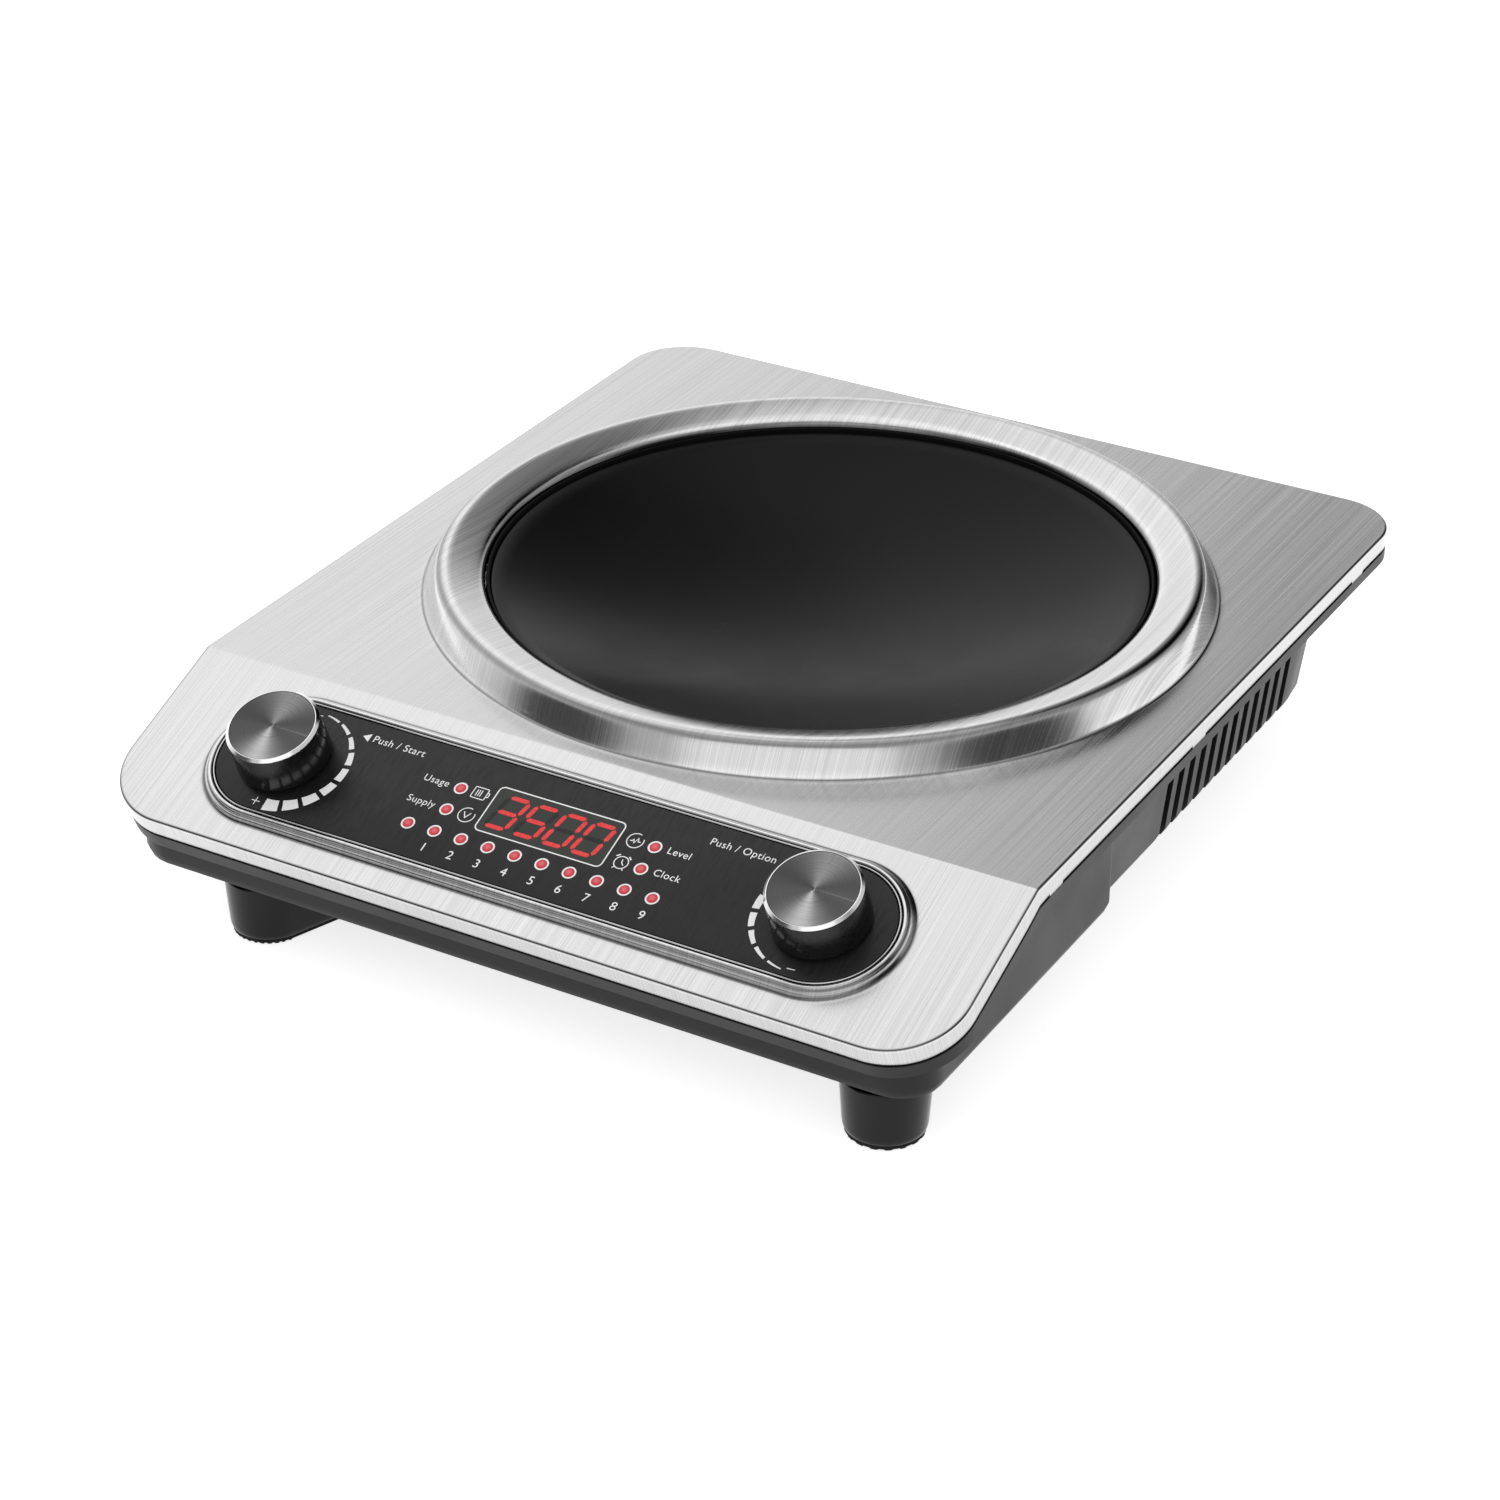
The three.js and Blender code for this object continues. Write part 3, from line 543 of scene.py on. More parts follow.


# The raised ring round the glass, from the level steel over the crest and down to its ledge:
# radius, height and painted shade: dark lines in the foot fillet and outside the crest, painted
# highlights on the crests, and dark walls down to the ledge.
RING_PROFILE = [
    (152.6, 0, 1), (151.3, 0, 1), (150.9, 0.03, 0.9), (150.5, 0.1, 0.5), (150.2, 0.25, 0.35),
    (149.9, 0.55, 0.7), (149.6, 1.0, 1.2), (149.2, 1.9, 1.1), (148.4, 3.6, 1), (147.2, 6.1, 1),
    (146.0, 8.4, 1), (145.3, 9.6, 0.95), (144.7, 10.4, 0.6), (144, 11, 0.42), (143.2, 11.42, 0.55),
    (142.3, 11.65, 0.95), (141.2, 11.7, 1.15), (140.1, 11.58, 1.12), (138.8, 11.25, 1.02),
    (135.5, 10.35, 1), (131.8, 9.28, 1), (129.6, 8.62, 1.05), (128.7, 8.25, 1.15),
    (128, 7.85, 1.0), (127.4, 7.3, 0.5), (126.9, 6.5, 0.2), (126.5, 5.6, 0.1), (126.4, 0, 0.06),
]

# The raised rim round the panel: two soft steps up, a crest, and its edge turned down:
# radius, height and painted shade, dark on the steps and the turned-down edge, with a painted
# highlight on the crest.
RIM_PROFILE = [
    (31.8, 0, 1), (30.9, 0, 0.95), (30.5, 0.04, 0.6), (30.1, 0.18, 0.28), (29.75, 0.45, 0.22),
    (29.4, 1.0, 0.3), (29.15, 1.4, 0.5), (28.85, 1.6, 0.95), (28.5, 1.68, 1.0),
    (28.25, 1.85, 0.42), (28.1, 2.2, 0.2), (27.9, 2.7, 0.22), (27.6, 3.08, 0.6),
    (27.2, 3.3, 1.15), (26.8, 3.36, 1.2), (26.45, 3.27, 0.9), (26.2, 3.0, 0.3),
    (26.05, 2.5, 0.1), (26, 1.2, 0.06),
]

# The bend from the steel to its skirt: share of the quarter turn, and painted shade, which
# draws a dark crease line in the bend.
EDGE_BEND = [(0.08, 0.75), (0.25, 0.2), (0.45, 0.16), (0.65, 0.6), (0.85, 1.05), (1, 1.0)]


def pressing(build, profile, sides, half_span, middle_t, dull):
    """A pressed ring of (radius, height, painted shade) rows about middle_t; returns its outer row."""
    rows = []
    for radius, height, shade in profile:
        points = circle(radius * MM, height * MM, sides, half_span)
        places = [sheet_point(p.x, p.y + middle_t, p.z) for p in points]
        uvs = [(p.x, p.y + middle_t) for p in points]
        rows.append(build.loop(places, uvs, shade, dull if height else 1.0))
    build.skin(rows)
    return rows[0]


def top_cover():
    """The pressed steel cover: its flat and slope, its bent skirt, the ring and the rim."""
    build = Builder()
    hold_inset = 2.2 * MM
    round_edge = 0.9 * MM

    def edge_row(inset, drop, shade=1.0, to_lip=False):
        """Vertices of the outline, drawn in by inset and set down by drop, or by the skirt's
        whole depth less drop."""
        row = []
        length = 0.0
        last = None
        for (x, t, ox, ot), (ex, et, _, _) in zip(outline(inset), outline(0)):
            direction, depth = skirt_drop(ex, et)
            down = depth - drop if to_lip else drop
            place = Vector((ex, et))
            length += (place - last).length if last is not None else 0.0
            last = place
            uv = (x, t) if drop == 0 and not to_lip else (length + 0.7, down)
            corner = abs(ox * ot) > 0.02
            dull = 0.5 if corner and down > 0 else 1.0
            row.append(build.point(sheet_point(x, t) + direction * down, uv, shade, dull))
        return row

    hold = edge_row(hold_inset, 0)
    rows = [hold, edge_row(round_edge + 0.3 * MM, 0)]
    for share, shade in EDGE_BEND:
        angle = math.pi / 2 * share
        inset = round_edge * (1 - math.sin(angle))
        rows.append(edge_row(inset, round_edge * (1 - math.cos(angle)), shade))
    # Painted shade on the skirt: its face a little darker than the steel above, its lower lip darkest.
    rows.append(edge_row(0, 1.4 * MM, 0.9))
    rows.append(edge_row(0, 1.3 * MM, 0.9, True))
    rows.append(edge_row(0, 0.5 * MM, 0.72, True))
    rows.append(edge_row(0, 0, 0.4, True))
    for first, second in zip(rows, rows[1:]):
        build.bridge(second, first)

    flat, slope = [], []
    reach = BEND * SLOPE / 2 + 1e-7
    for index, (x, t, _, _) in zip(hold, outline(hold_inset)):
        if t > reach:
            flat.append(index)
        elif t < -reach:
            slope.append(index)
    edge = [(index, x, t) for index, (x, t, _, _) in zip(hold, outline(hold_inset))]
    left_bend = [i for i, x, t in edge if abs(t) <= reach and x < 0]
    right_bend = [i for i, x, t in edge if abs(t) <= reach and x > 0]
    right_bend.reverse()
    first_flat_left = max(i for i in flat)
    rows_left = [first_flat_left, *left_bend, left_bend[-1] + 1]
    rows_right = [min(flat), *right_bend, right_bend[-1] - 1]
    for a, b, c, d in zip(rows_left, rows_left[1:], rows_right, rows_right[1:]):
        build.faces.append((a, b, d, c))

    ring = pressing(build, RING_PROFILE, 256, 0.0, BOWL_T, 0.55)
    build.fill(flat, [ring])
    rim = pressing(build, RIM_PROFILE, 160, PANEL_END_X, -PANEL_S, 0.5)
    build.fill(slope, [rim])

    cover = piece("steel_top_cover", build.verts, build.faces, STEEL, "hob", "brushed_steel",
                  ["top_cover"], build.uvs, sharp=50, shades=build.shades,
                  dullness=build.dullness)
    thickness = cover.modifiers.new("sheet_thickness", "SOLIDIFY")
    thickness.thickness = 0.8 * MM
    thickness.offset = -1
    thickness.use_even_offset = False
    return cover


# ---- Glass and seal -----------------------------------------------------------------------
def bowl_height(radius_mm):
    """Height of the dished glass above the level steel, in millimetres."""
    share = (radius_mm * MM / GLASS_RADIUS) ** 2
    return (GLASS_RIM - GLASS_SAG * (1 - share)) / MM


def bowl():
    steps = 22
    edge = GLASS_RADIUS / MM - 0.8
    radii = [edge * i / steps for i in range(steps + 1)]
    under = [(r, bowl_height(r) - 4.3) for r in radii]
    rim = [(edge + 0.5, bowl_height(edge + 0.5) - 4.1), (edge + 0.8, bowl_height(edge) - 3.2),
           (edge + 0.8, bowl_height(edge) - 0.6), (edge + 0.6, bowl_height(edge) - 0.1)]
    top = [(r, bowl_height(r)) for r in reversed(radii)]
    turned_piece("black_glass_bowl", under + rim + top, 192, BOWL, GLASS, "hob",
                 "black_glass_ceramic", replaces=["concave_glass"], sharp=60)
    bead = [(118, -4.2), (126.1, -1), (126.1, 5.35)] + arc((125.45, 5.35), 0.65, 0, 180, 8)
    bead += [(124.8, 0), (118, -2.7)]
    turned_piece("silicone_seal_bead", bead, 192, BOWL, SILICONE, "hob", "seal_silicone",
                 replaces=["glass_seal"], closed=True)


# ---- Fascia and its printing --------------------------------------------------------------
FACE = PANEL @ Matrix.Translation((0, 0, FASCIA_TOP))
PRINT_HEIGHT = 0.06  # millimetres above the fascia


def fascia():
    middle = PANEL @ Matrix.Translation((0, -PANEL_S, 0))
    edge = [(0, 0.9), (24.7, 0.9), (24.7, 2.7)] + arc((24.4, 2.7), 0.3, 0, 90, 4) + [(0, 3)]
    turned_piece("control_fascia_plate", edge, 128, middle, FASCIA, "hob", "fascia_black",
                 half_span=PANEL_END_X, replaces=["control_fascia"], sharp=60)
    trim = [(25, 0.9), (25.7, 0.9), (25.7, 2.95)] + arc((25.35, 2.95), 0.35, 0, 180, 8) + [(25, 0.9)]
    turned_piece("fascia_chrome_trim", trim[:-1], 160, middle, CHROME, "hob", "trim_chrome",
                 half_span=PANEL_END_X, replaces=["panel_trim_ring"], closed=True)


class Print:
    """Flat shapes on the fascia, in millimetres: x across and s down the slope."""

    def __init__(self, height=PRINT_HEIGHT):
        self.build = Builder()
        self.height = height

    def vertex(self, x, s):
        return self.build.point((x * MM, -s * MM, self.height * MM), (x * MM, s * MM))

    def polygon(self, points):
        ring = [self.vertex(x, s) for x, s in points]
        face = [self.build.verts[i] for i in ring]
        area = sum(a.x * b.y - b.x * a.y for a, b in zip(face, face[1:] + face[:1]))
        self.build.faces.append(tuple(ring if area > 0 else reversed(ring)))

    def stroke(self, points, width, closed=False):
        """A line of even width through points, with mitred corners."""
        count = len(points)
        left, right = [], []
        for i, (x, s) in enumerate(points):
            before = points[i - 1] if closed or i > 0 else points[i]
            after = points[(i + 1) % count] if closed or i < count - 1 else points[i]
            first = Vector((x - before[0], s - before[1]))
            second = Vector((after[0] - x, after[1] - s))
            first = first.normalized() if first.length > 0 else second.normalized()
            second = second.normalized() if second.length > 0 else first
            direction = (first + second).normalized()
            normal = Vector((-direction.y, direction.x))
            reach = width / 2 / max(0.5, direction.dot(first))
            left.append((x + normal.x * reach, s + normal.y * reach))
            right.append((x - normal.x * reach, s - normal.y * reach))
        for i in range(count if closed else count - 1):
            j = (i + 1) % count
            self.polygon([left[i], left[j], right[j], right[i]])

    def ring(self, x, s, radius, width, start=0, end=360, steps=40):
        points = []
        for i in range(steps + (end - start < 360)):
            angle = math.radians(start + (end - start) * i / steps)
            points.append((x + radius * math.cos(angle), s + radius * math.sin(angle)))
        self.stroke(points, width, closed=end - start >= 360)

    def finish(self, name, material, slot):
        mesh = self.build
        return piece(name, mesh.verts, mesh.faces, material, "hob", slot, uvs=mesh.uvs, matrix=FACE)


LED_PITCH = 11
LED_ROW_S = 49.5
STATUS = [(-39.5, 29.6), (-39.5, 39.6), (39.5, 29.6), (39.5, 39.6)]
LAMPS = [((i - 4.5) * LED_PITCH, LED_ROW_S) for i in range(10)] + STATUS


def rounded_rectangle(x, s, half_x, half_s, radius, steps=6):
    points = []
    for quarter, (sx, ss) in enumerate([(1, 1), (-1, 1), (-1, -1), (1, -1)]):
        for i in range(steps + 1):
            angle = math.radians(quarter * 90 + 90 * i / steps)
            points.append((x + sx * (half_x - radius) + radius * math.cos(angle),
                           s + ss * (half_s - radius) + radius * math.sin(angle)))
    return points


def tapered_dash(ink, x, s, radius, start, end, width_start, width_end):
    """One dash of a dial: an arc from start to end degrees whose width grows inwards."""
    steps = 6
    outer, inner = [], []
    for i in range(steps + 1):
        share = i / steps
        angle = math.radians(start + (end - start) * share)
        width = width_start + (width_end - width_start) * share
        outer.append((x + radius * math.cos(angle), s + radius * math.sin(angle)))
        inner.append((x + (radius - width) * math.cos(angle), s + (radius - width) * math.sin(angle)))
    for i in range(steps):
        ink.polygon([outer[i], outer[i + 1], inner[i + 1], inner[i]])


def dials(ink):
    """Dashes that grow clockwise round each knob, and a plus sign where they are thickest."""
    first, step, length = -85.5, 19.5, 15
    for i in range(9):
        start = first + i * step
        share = i / 8
        tapered_dash(ink, -106, 38.7, 22.6 + 1.1 * share, start, start + length,
                     0.45 + 4.3 * share, 0.9 + 4.3 * share)
        if i < 6:
            tapered_dash(ink, 106.8, 38.4, 22.7 + 1.1 * share, start + 180,
                         start + 180 + length, 0.45 + 4.3 * share, 0.9 + 4.3 * share)
    for x, s, turn in ((-106, 38.7, 0), (106.8, 38.4, 180)):
        tapered_dash(ink, x, s, 21.6, turn - 98, turn - 90, 0.3, 0.4)
    ink.stroke([(-109.9, 59.4), (-106.5, 59.4)], 0.35)
    ink.stroke([(-108.2, 57.7), (-108.2, 61.1)], 0.35)


def icons(ink):
    """A battery, a volt sign, a pulse sign and an alarm clock, beside the four status lamps."""
    line = 0.38
    ink.stroke(rounded_rectangle(-31.75, 29.3, 2.75, 2.4, 0.4, 3), line, closed=True)
    ink.stroke([(-29, 28.2), (-28.1, 28.5), (-28.1, 30.1), (-29, 30.4)], line)
    for x in (-33, -32.1, -31.2):
        ink.stroke([(x, 27.9), (x, 30.7)], line)
    ink.ring(-31.3, 39.4, 3.1, line, -25, 290)
    ink.stroke([(-32.75, 38.2), (-31.3, 40.7), (-30, 38.2)], line)
    ink.ring(31.6, 29.4, 3.1, line, -25, 290)
    ink.stroke([(29.6, 29.8), (30.5, 29.8), (30.9, 29), (31.5, 30.5), (32.3, 28.1), (32.8, 29.6),
                (33.7, 29.5)], line)
    ink.ring(31.6, 39.5, 2.6, line)
    ink.stroke([(31.55, 38.1), (31.8, 39.5), (32.8, 40.5)], line)
    for side in (-1, 1):
        ink.stroke([(31.5 + side * 1.7, 36.4), (31.5 + side * 2.9, 37.4)], 0.5)
        ink.stroke([(31.6 + side * 1.5, 41.7), (31.6 + side * 2.1, 42.5)], line)


def printing():
    ink = Print()
    for x, s in LAMPS:
        ink.ring(x, s, 2.28, 0.62, steps=32)
    ink.stroke(rounded_rectangle(-0.17, 33.92, 25.6, 10.05, 2), 0.5, closed=True)
    dials(ink)
    icons(ink)
    ink.polygon([(-86.6, 20.4), (-83.6, 18.6), (-83.6, 22.2)])
    ink.finish("panel_printing", WHITE_PRINT, "fascia_black")
    labels = [(str(i), (i - 4.5) * LED_PITCH, 57.2, 4.2, "CENTER") for i in range(1, 10)]
    labels += [
        ("Push / Start", -82.2, 20.4, 3.6, "LEFT"),
        ("Usage", -44.4, 29.4, 3.4, "RIGHT"),
        ("Supply", -44.4, 39.4, 3.4, "RIGHT"),
        ("Level", 44.4, 29.4, 3.4, "LEFT"),
        ("Clock", 44.4, 39.4, 3.4, "LEFT"),
        ("Push / Option", 82.4, 20.8, 3.5, "RIGHT"),
    ]
    made = []
    for number, (words, x, s, size, side) in enumerate(labels):
        curve = bpy.data.curves.new(f"label_{number}", "FONT")
        curve.body = words
        curve.size = size * 1.2 * MM
        curve.align_x = side
        curve.align_y = "CENTER"
        curve.space_character = 1.08
        letters = bpy.data.objects.new(f"label_{number}", curve)
        letters.matrix_world = FACE @ Matrix.Translation((x * MM, -s * MM, PRINT_HEIGHT * MM))
        bpy.context.scene.collection.objects.link(letters)
        made.append(letters)
    bpy.context.view_layer.update()
    graph = bpy.context.evaluated_depsgraph_get()
    build = Builder()
    for letters in made:
        mesh = letters.evaluated_get(graph).to_mesh()
        start = len(build.verts)
        for vertex in mesh.vertices:
            build.point(letters.matrix_world @ vertex.co)
        for polygon in mesh.polygons:
            build.faces.append(tuple(start + i for i in polygon.vertices))
        bpy.data.objects.remove(letters)
    piece("panel_lettering", build.verts, build.faces, WHITE_PRINT, "hob", "fascia_black",
          uvs=build.uvs)


def lamps():
    """Fourteen low domes in one piece, standing for the light guide's posts."""
    build = Builder()
    sides = 28
    radius = 1.98
    for x, s in LAMPS:
        rows = []
        for share, height in ((1, 0.0), (0.97, 0.1), (0.8, 0.2), (0.5, 0.3), (0.22, 0.34)):
            points = circle(radius * share * MM, height * MM, sides)
            spots = [p + Vector((x * MM, -s * MM, 0)) for p in points]
            rows.append(build.loop(spots, [(share, 0.5)] * sides))
        build.skin(rows)
        build.faces.append(tuple(rows[-1]))
        build.faces.append(tuple(reversed(rows[0])))
    piece("lamp_lenses", build.verts, build.faces, LAMP, "hob", "lamp_red", uvs=build.uvs,
          matrix=FACE)


# Which of the seven segments each digit lights: top, upper right, lower right, bottom, lower
# left, upper left, middle.
SEGMENTS = {"3": (1, 1, 1, 1, 0, 0, 1), "5": (1, 0, 1, 1, 0, 1, 1), "0": (1, 1, 1, 1, 1, 1, 0)}
DIGIT_CENTRES = (-17.6, -6, 5.7, 17.3)
READING = "3500"


def display():
    window = Print(0.02)
    window.polygon(rounded_rectangle(0, 33.8, 25.3, 9.75, 1.8))
    window.finish("display_filter", SMOKED, "display_filter")
    half_width, half_height, thick, slant = 4.15, 6.8, 0.86, 0.205
    lit, unlit = Print(0.06), Print(0.045)

    def bar(ink, centre, start, end):
        """A hexagonal bar between two points of the digit, leaning with it."""
        (x0, y0), (x1, y1) = start, end
        along = Vector((x1 - x0, y1 - y0)).normalized()
        across = Vector((-along.y, along.x)) * thick
        gap = 0.42
        a = Vector((x0, y0)) + along * gap
        b = Vector((x1, y1)) - along * gap
        corners = [a, a + along * thick + across, b - along * thick + across, b,
                   b - along * thick - across, a + along * thick - across]
        ink.polygon([(centre + c.x - c.y * slant, 34 + c.y) for c in corners])

    w, h = half_width, half_height
    places = [((-w, -h), (w, -h)), ((w, -h), (w, 0)), ((w, 0), (w, h)), ((-w, h), (w, h)),
              ((-w, 0), (-w, h)), ((-w, -h), (-w, 0)), ((-w, 0), (w, 0))]
    for centre, digit in zip(DIGIT_CENTRES, READING):
        for on, (start, end) in zip(SEGMENTS[digit], places):
            bar(lit if on else unlit, centre, start, end)
    lit.finish("display_lit_segments", LIT, "lamp_red")
    unlit.finish("display_unlit_segments", UNLIT, "display_filter")


# ---- Knobs --------------------------------------------------------------------------------
def knobs():
    for side, sign in (("left", -1), ("right", 1)):
        place = knob_frame(sign)
        wall = [(15.6, 4.5), (17.1, 4.5), (17.35, 4.75), (17.4, 5.2), (17.15, 12), (16.95, 18.9)]
        recess = [(16.2, 18.9), (16.1, 17.5), (15.2, 17.3), (15.0, 6), (15.6, 4.5)]
        turned_piece(f"{side}_knob_skirt", wall + recess[:-1], 96, place, KNOB_BLACK,
                     f"{side}_knob", "knob_black", replaces=[f"{side}_knob_body"], closed=True)
        ring = [(16.25, 19.1), (16.95, 19.1), (17, 19.25), (17, 19.45), (16.05, 20.35)]
        ring += [(15.9, 20.4), (15.75, 20.35), (15.7, 20.1)]
        turned_piece(f"{side}_knob_chamfer", ring, 96, place, KNOB_CHAMFER, f"{side}_knob",
                     "knob_aluminium", closed=True, sharp=25)
        face = [(0, 19.4), (15.6, 19.4), (15.65, 20.2), (15.5, 20.3), (12, 20.3), (8, 20.3),
                (4, 20.3), (1, 20.28), (0, 20.26)]
        turned_piece(f"{side}_knob_face", face, 128, place, SPUN, f"{side}_knob",
                     "knob_aluminium", replaces=[f"{side}_knob_cap"], sharp=25)
        marker = [(0, 10.9), (0.24, 11), (0.34, 11.3), (0.34, 14.9), (0.24, 15.2), (-0.24, 15.2),
                  (-0.34, 14.9), (-0.34, 11.3), (-0.24, 11)]
        build = Builder()
        base = build.loop([(x * MM, y * MM, 20.31 * MM) for x, y in marker])
        rise = build.loop([(x * 0.8 * MM, y * MM, 20.36 * MM) for x, y in marker])
        build.bridge(base, rise)
        build.faces.append(tuple(rise))
        piece(f"{side}_knob_marker", build.verts, build.faces, KNOB_MARK, f"{side}_knob",
              "knob_aluminium", uvs=build.uvs, matrix=place)


# ---- Feet ---------------------------------------------------------------------------------
def feet():
    """Tapered blocks with rounded lower edges on ribbed rubber soles."""
    for name in ("front_left", "front_right", "rear_left", "rear_right"):
        low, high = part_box(f"foot_{name}")
        centre = (low + high) / 2
        half_span = 0.0
        heading = 0.0
        if name == "front_left":
            half_span = 20 * MM
            heading = math.radians(70)
        place = Matrix.Translation((centre.x, centre.y, 0)) @ Matrix.Rotation(heading, 4, "Z")
        top = high.z / MM
        wall = [(0, 1.4), (13.2, 1.4), (13.75, 1.65), (14.2, 2.2), (14.5, 3.1), (14.7, 4.4),
                (15.95, top - 0.4), (15.7, top), (0, top)]
        turned_piece(f"foot_block_{name}", wall, 72, place, FOOT, "hob", "foot_plastic",
                     half_span, replaces=[f"foot_{name}"], sharp=35)
        sole(name, place, half_span)


def sole(name, place, half_span):
    """A rubber sole whose rim is cut into treads."""
    build = Builder()
    sides = 160
    tread_pitch = 5.2
    straight = 2 * half_span / MM
    length = 2 * math.pi * 14.4 + 2 * straight
    treads = round(length / tread_pitch)
    rows = []
    profile = [(0, 0.5), (10.9, 0.5), (11.2, 0), (13.5, 0), (13.8, 0.25), (13.5, 1.35), (0, 1.35)]
    for radius, height in profile:
        if radius == 0:
            rows.append([build.point((0, 0, height * MM))])
            continue
        spots = circle(radius * MM, height * MM, sides, half_span)
        for i, spot in enumerate(spots):
            turn = (i * treads / sides) % 1
            if height < 0.4 and turn > 0.5:
                spot.z = 0.6 * MM
        rows.append(build.loop(spots))
    build.skin(rows)
    piece(f"foot_tread_{name}", build.verts, build.faces, RUBBER, "hob", "foot_rubber",
          [f"foot_sole_{name}"], build.uvs, sharp=30, matrix=place)


# ---- Housing detail ------------------------------------------------------------------------
def housing_bead():
    """The fine step that runs round the front of the tub, a little below the steel. Its path is
    (x, y behind the fold, outward angle), in millimetres and radians."""
    half, front, corner, height, proud = 161.3, -64, 16, 37, 0.45
    path = [(half, -20, 0), (half, -30, 0), (half, -40, 0)]
    path += [(half - corner + corner * math.cos(a), front + corner + corner * math.sin(a), a)
             for a in (math.radians(-90 * i / 10) for i in range(11))]
    path += [(x, front, math.radians(-90)) for x in range(140, -141, -20)]
    path += [(corner - half + corner * math.cos(a), front + corner + corner * math.sin(a), a)
             for a in (math.radians(-90 - 90 * i / 10) for i in range(11))]
    path += [(-half, y, math.radians(-180)) for y in (-40, -30, -20)]
    build = Builder()
    rows = []
    for share in range(9):
        turn = math.radians(-90 + 180 * share / 8)
        out, up = proud * math.cos(turn), 0.7 * math.sin(turn)
        rows.append(build.loop([
            Vector(((x + out * math.cos(a)) * MM, FOLD_Y + (y + out * math.sin(a)) * MM,
                    (height + up) * MM)) for x, y, a in path]))
    for first, second in zip(rows, rows[1:]):
        build.bridge(second, first, closed=False)
    build.bridge(rows[0], rows[-1], closed=False)
    for end in (0, -1):
        cap = [row[end] for row in rows]
        build.faces.append(tuple(cap if end else reversed(cap)))
    piece("housing_front_bead", build.verts, build.faces, HOUSING, "hob",
          "black_housing_plastic", uvs=build.uvs)


def housing_rim():
    """The housing's rim where it steps out flush with the steel, just below the skirt."""
    build = Builder()
    rows = []
    edge = outline(0)
    for inset, below in ((1.6, 0), (0.3, 0), (0.1, 0.2), (0.1, 5.9), (0.6, 6.5), (9, 6.5)):
        places = []
        for (x, t, _, _), (ex, et, _, _) in zip(outline(inset * MM), edge):
            direction, depth = skirt_drop(ex, et, tabs=False)
            shallow = 1 - 0.28 * smoothstep(et, -14 * MM, 14 * MM)
            places.append(sheet_point(x, t) + direction * (depth + (1.3 + below * shallow) * MM))
        rows.append(build.loop(places))
    for first, second in zip(rows, rows[1:] + rows[:1]):
        build.bridge(second, first)
    piece("housing_rim_step", build.verts, build.faces, HOUSING, "hob",
          "black_housing_plastic", uvs=build.uvs)


# ---- CAD nodes that keep their shape ------------------------------------------------------
def dress(node, material, bevel=0.3, segments=2):
    """A better material, softened edges and smooth shading on a CAD node."""
    shape = NODES[node]
    shape.data.materials.clear()
    shape.data.materials.append(material)
    for polygon in shape.data.polygons:
        polygon.use_smooth = True
    weld = shape.modifiers.new("weld", "WELD")
    weld.merge_threshold = 0.01 * MM
    if bevel:
        soft = shape.modifiers.new("soft_edges", "BEVEL")
        soft.width = bevel * MM
        soft.segments = segments
        soft.limit_method = "ANGLE"
        soft.angle_limit = math.radians(35)
    normals = shape.modifiers.new("normals", "WEIGHTED_NORMAL")
    normals.keep_sharp = True


def dress_all():
    dress("lower_housing", HOUSING, 0.5)
    dress("cord_gland", HOUSING, 0.3)
    dress("fan_frame", HOUSING, 0.2)
    dress("fan_impeller", HOUSING, 0.2)
    dress("terminal_block", HOUSING, 0.3)
    for node in ("power_board", "control_board"):
        dress(node, BOARD, 0.1)
    for node in ("igbt_module", "bridge_rectifier", "supply_capacitor", "display_module"):
        dress(node, COMPONENT, 0.15)
    for node in ("dc_link_capacitor", "resonant_capacitor", "filter_capacitor"):
        dress(node, FILM, 0.4)
    dress("heat_sink", HEAT_SINK, 0.1)
    dress("temperature_sensor", PLATED, 0.2)
    dress("mica_sheet", MICA, 0)
    dress("coil_carrier", CARRIER, 0.2)
    dress("induction_coil", COIL, 0.4)
    dress("filter_choke", COIL, 0)
    dress("display_window", SMOKED, 0.1)
    dress("light_guide", GUIDE, 0.1)
    for number in range(1, 7):
        dress(f"ferrite_bar_{number}", FERRITE, 0.4)
    for number in range(1, 5):
        dress(f"carrier_screw_{number}", PLATED, 0.2)
    for side in ("left", "right"):
        dress(f"{side}_encoder_shaft", PLATED, 0.2)
        dress(f"{side}_encoder_body", PLATED, 0.2)
        dress(f"{side}_push_plunger", COMPONENT, 0.1)


# ---- Floor, light and camera --------------------------------------------------------------
def floor():
    mesh = bpy.data.meshes.new("floor")
    reach = 6.0
    mesh.from_pydata([(-reach, -reach, 0), (reach, -reach, 0), (reach, reach, 0), (-reach, reach, 0)],
                     [], [(0, 1, 2, 3)])
    m = Nodes("floor")
    m.set(Base_Color=(0.85, 0.85, 0.85, 1), Roughness=0.9, Specular_IOR_Level=0.1,
          Emission_Color=(1, 1, 1, 1), Emission_Strength=0.75)
    mesh.materials.append(m.material)
    ground = bpy.data.objects.new("floor", mesh)
    ground.location.z = -0.0002
    bpy.context.scene.collection.objects.link(ground)


def soft_box(name, location, target, width, height, power):
    data = bpy.data.lights.new(name, "AREA")
    data.shape = "RECTANGLE"
    data.size = width
    data.size_y = height
    data.energy = power
    lamp = bpy.data.objects.new(name, data)
    lamp.location = location
    direction = Vector(target) - Vector(location)
    lamp.rotation_euler = direction.to_track_quat("-Z", "Y").to_euler()
    bpy.context.scene.collection.objects.link(lamp)


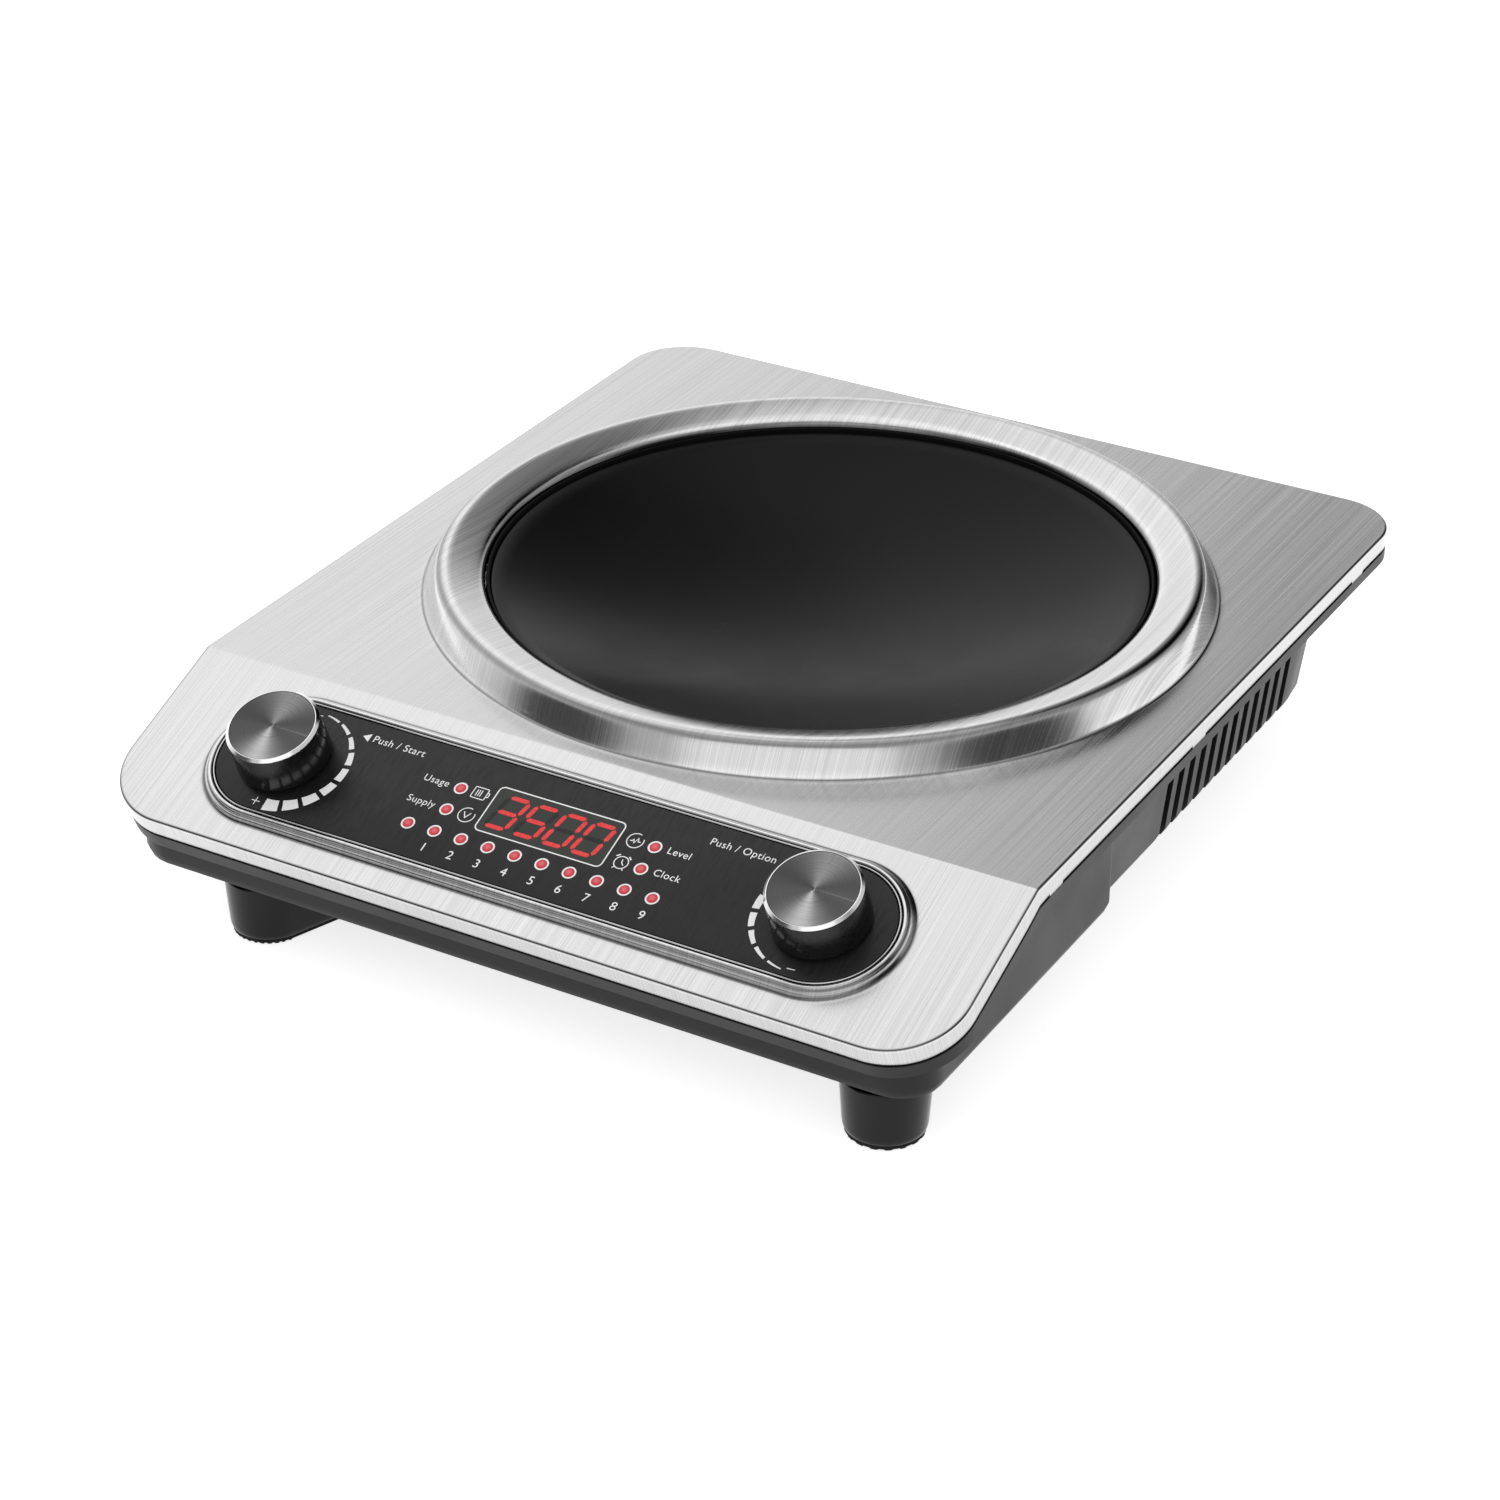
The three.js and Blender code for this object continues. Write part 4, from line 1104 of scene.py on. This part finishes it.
# Broad soft areas of the studio: direction, half angles where each begins and ends to fade,
# and how much light it adds or, for a dark screen, takes away.
STUDIO = [
    ((-0.3, 0.15, 0.95), 8, 62, 0.12),
    ((-0.85, 0.45, 0.3), 10, 60, 0.54),
    ((0.0, 0.79, 0.61), 15, 30, -0.6),
    ((0.31, -0.85, 0.4), 22, 33, 0.5),
    ((-0.69, -0.68, 0.22), 8, 24, -0.5),
    ((0.93, -0.1, 0.28), 8, 26, -0.5),
    ((0.8, 0.6, 0.08), 12, 26, 0.5),
]
STUDIO_BASE = 0.58


def light():
    """A white studio: the light comes from all round, with soft lamps and dark screens, and
    the camera sees plain white behind the object."""
    world = bpy.data.worlds.new("studio")
    bpy.context.scene.world = world
    world.use_nodes = True
    tree = world.node_tree
    background = tree.nodes["Background"]
    background.inputs["Color"].default_value = (1, 1, 1, 1)
    direction = tree.nodes.new("ShaderNodeTexCoord").outputs["Generated"]
    total = None
    for centre, start, end, amount in STUDIO:
        dot = tree.nodes.new("ShaderNodeVectorMath")
        dot.operation = "DOT_PRODUCT"
        dot.inputs[1].default_value = Vector(centre).normalized()
        tree.links.new(direction, dot.inputs[0])
        fade = tree.nodes.new("ShaderNodeMapRange")
        fade.interpolation_type = "SMOOTHSTEP"
        fade.inputs["From Min"].default_value = math.cos(math.radians(end))
        fade.inputs["From Max"].default_value = math.cos(math.radians(start))
        fade.inputs["To Max"].default_value = amount
        tree.links.new(dot.outputs["Value"], fade.inputs["Value"])
        add = tree.nodes.new("ShaderNodeMath")
        add.inputs[1].default_value = STUDIO_BASE
        tree.links.new(fade.outputs["Result"], add.inputs[0])
        if total is not None:
            tree.links.new(total, add.inputs[1])
        total = add.outputs[0]
    seen = tree.nodes.new("ShaderNodeLightPath").outputs["Is Camera Ray"]
    white = tree.nodes.new("ShaderNodeMath")
    white.operation = "MAXIMUM"
    tree.links.new(total, white.inputs[0])
    tree.links.new(seen, white.inputs[1])
    tree.links.new(white.outputs[0], background.inputs["Strength"])
    soft_box("overhead", (-0.3, 0.3, 2.6), (0, 0, 0), 2.4, 2.4, 6)
    bpy.context.scene.view_settings.view_transform = "Standard"


def camera():
    data = bpy.data.cameras.new("camera")
    data.lens = 92.7
    data.sensor_width = 36
    data.clip_end = 50
    eye = bpy.data.objects.new("camera", data)
    eye.location = FOLD @ Vector((0.6286, -0.9829, 0.6697))
    direction = Vector((-0.43479, 0.75178, -0.49577))
    eye.rotation_euler = direction.to_track_quat("-Z", "Y").to_euler()
    bpy.context.scene.collection.objects.link(eye)
    bpy.context.scene.camera = eye


camera()
top_cover()
bowl()
fascia()
printing()
lamps()
display()
knobs()
feet()
housing_bead()
housing_rim()
dress_all()
floor()
light()
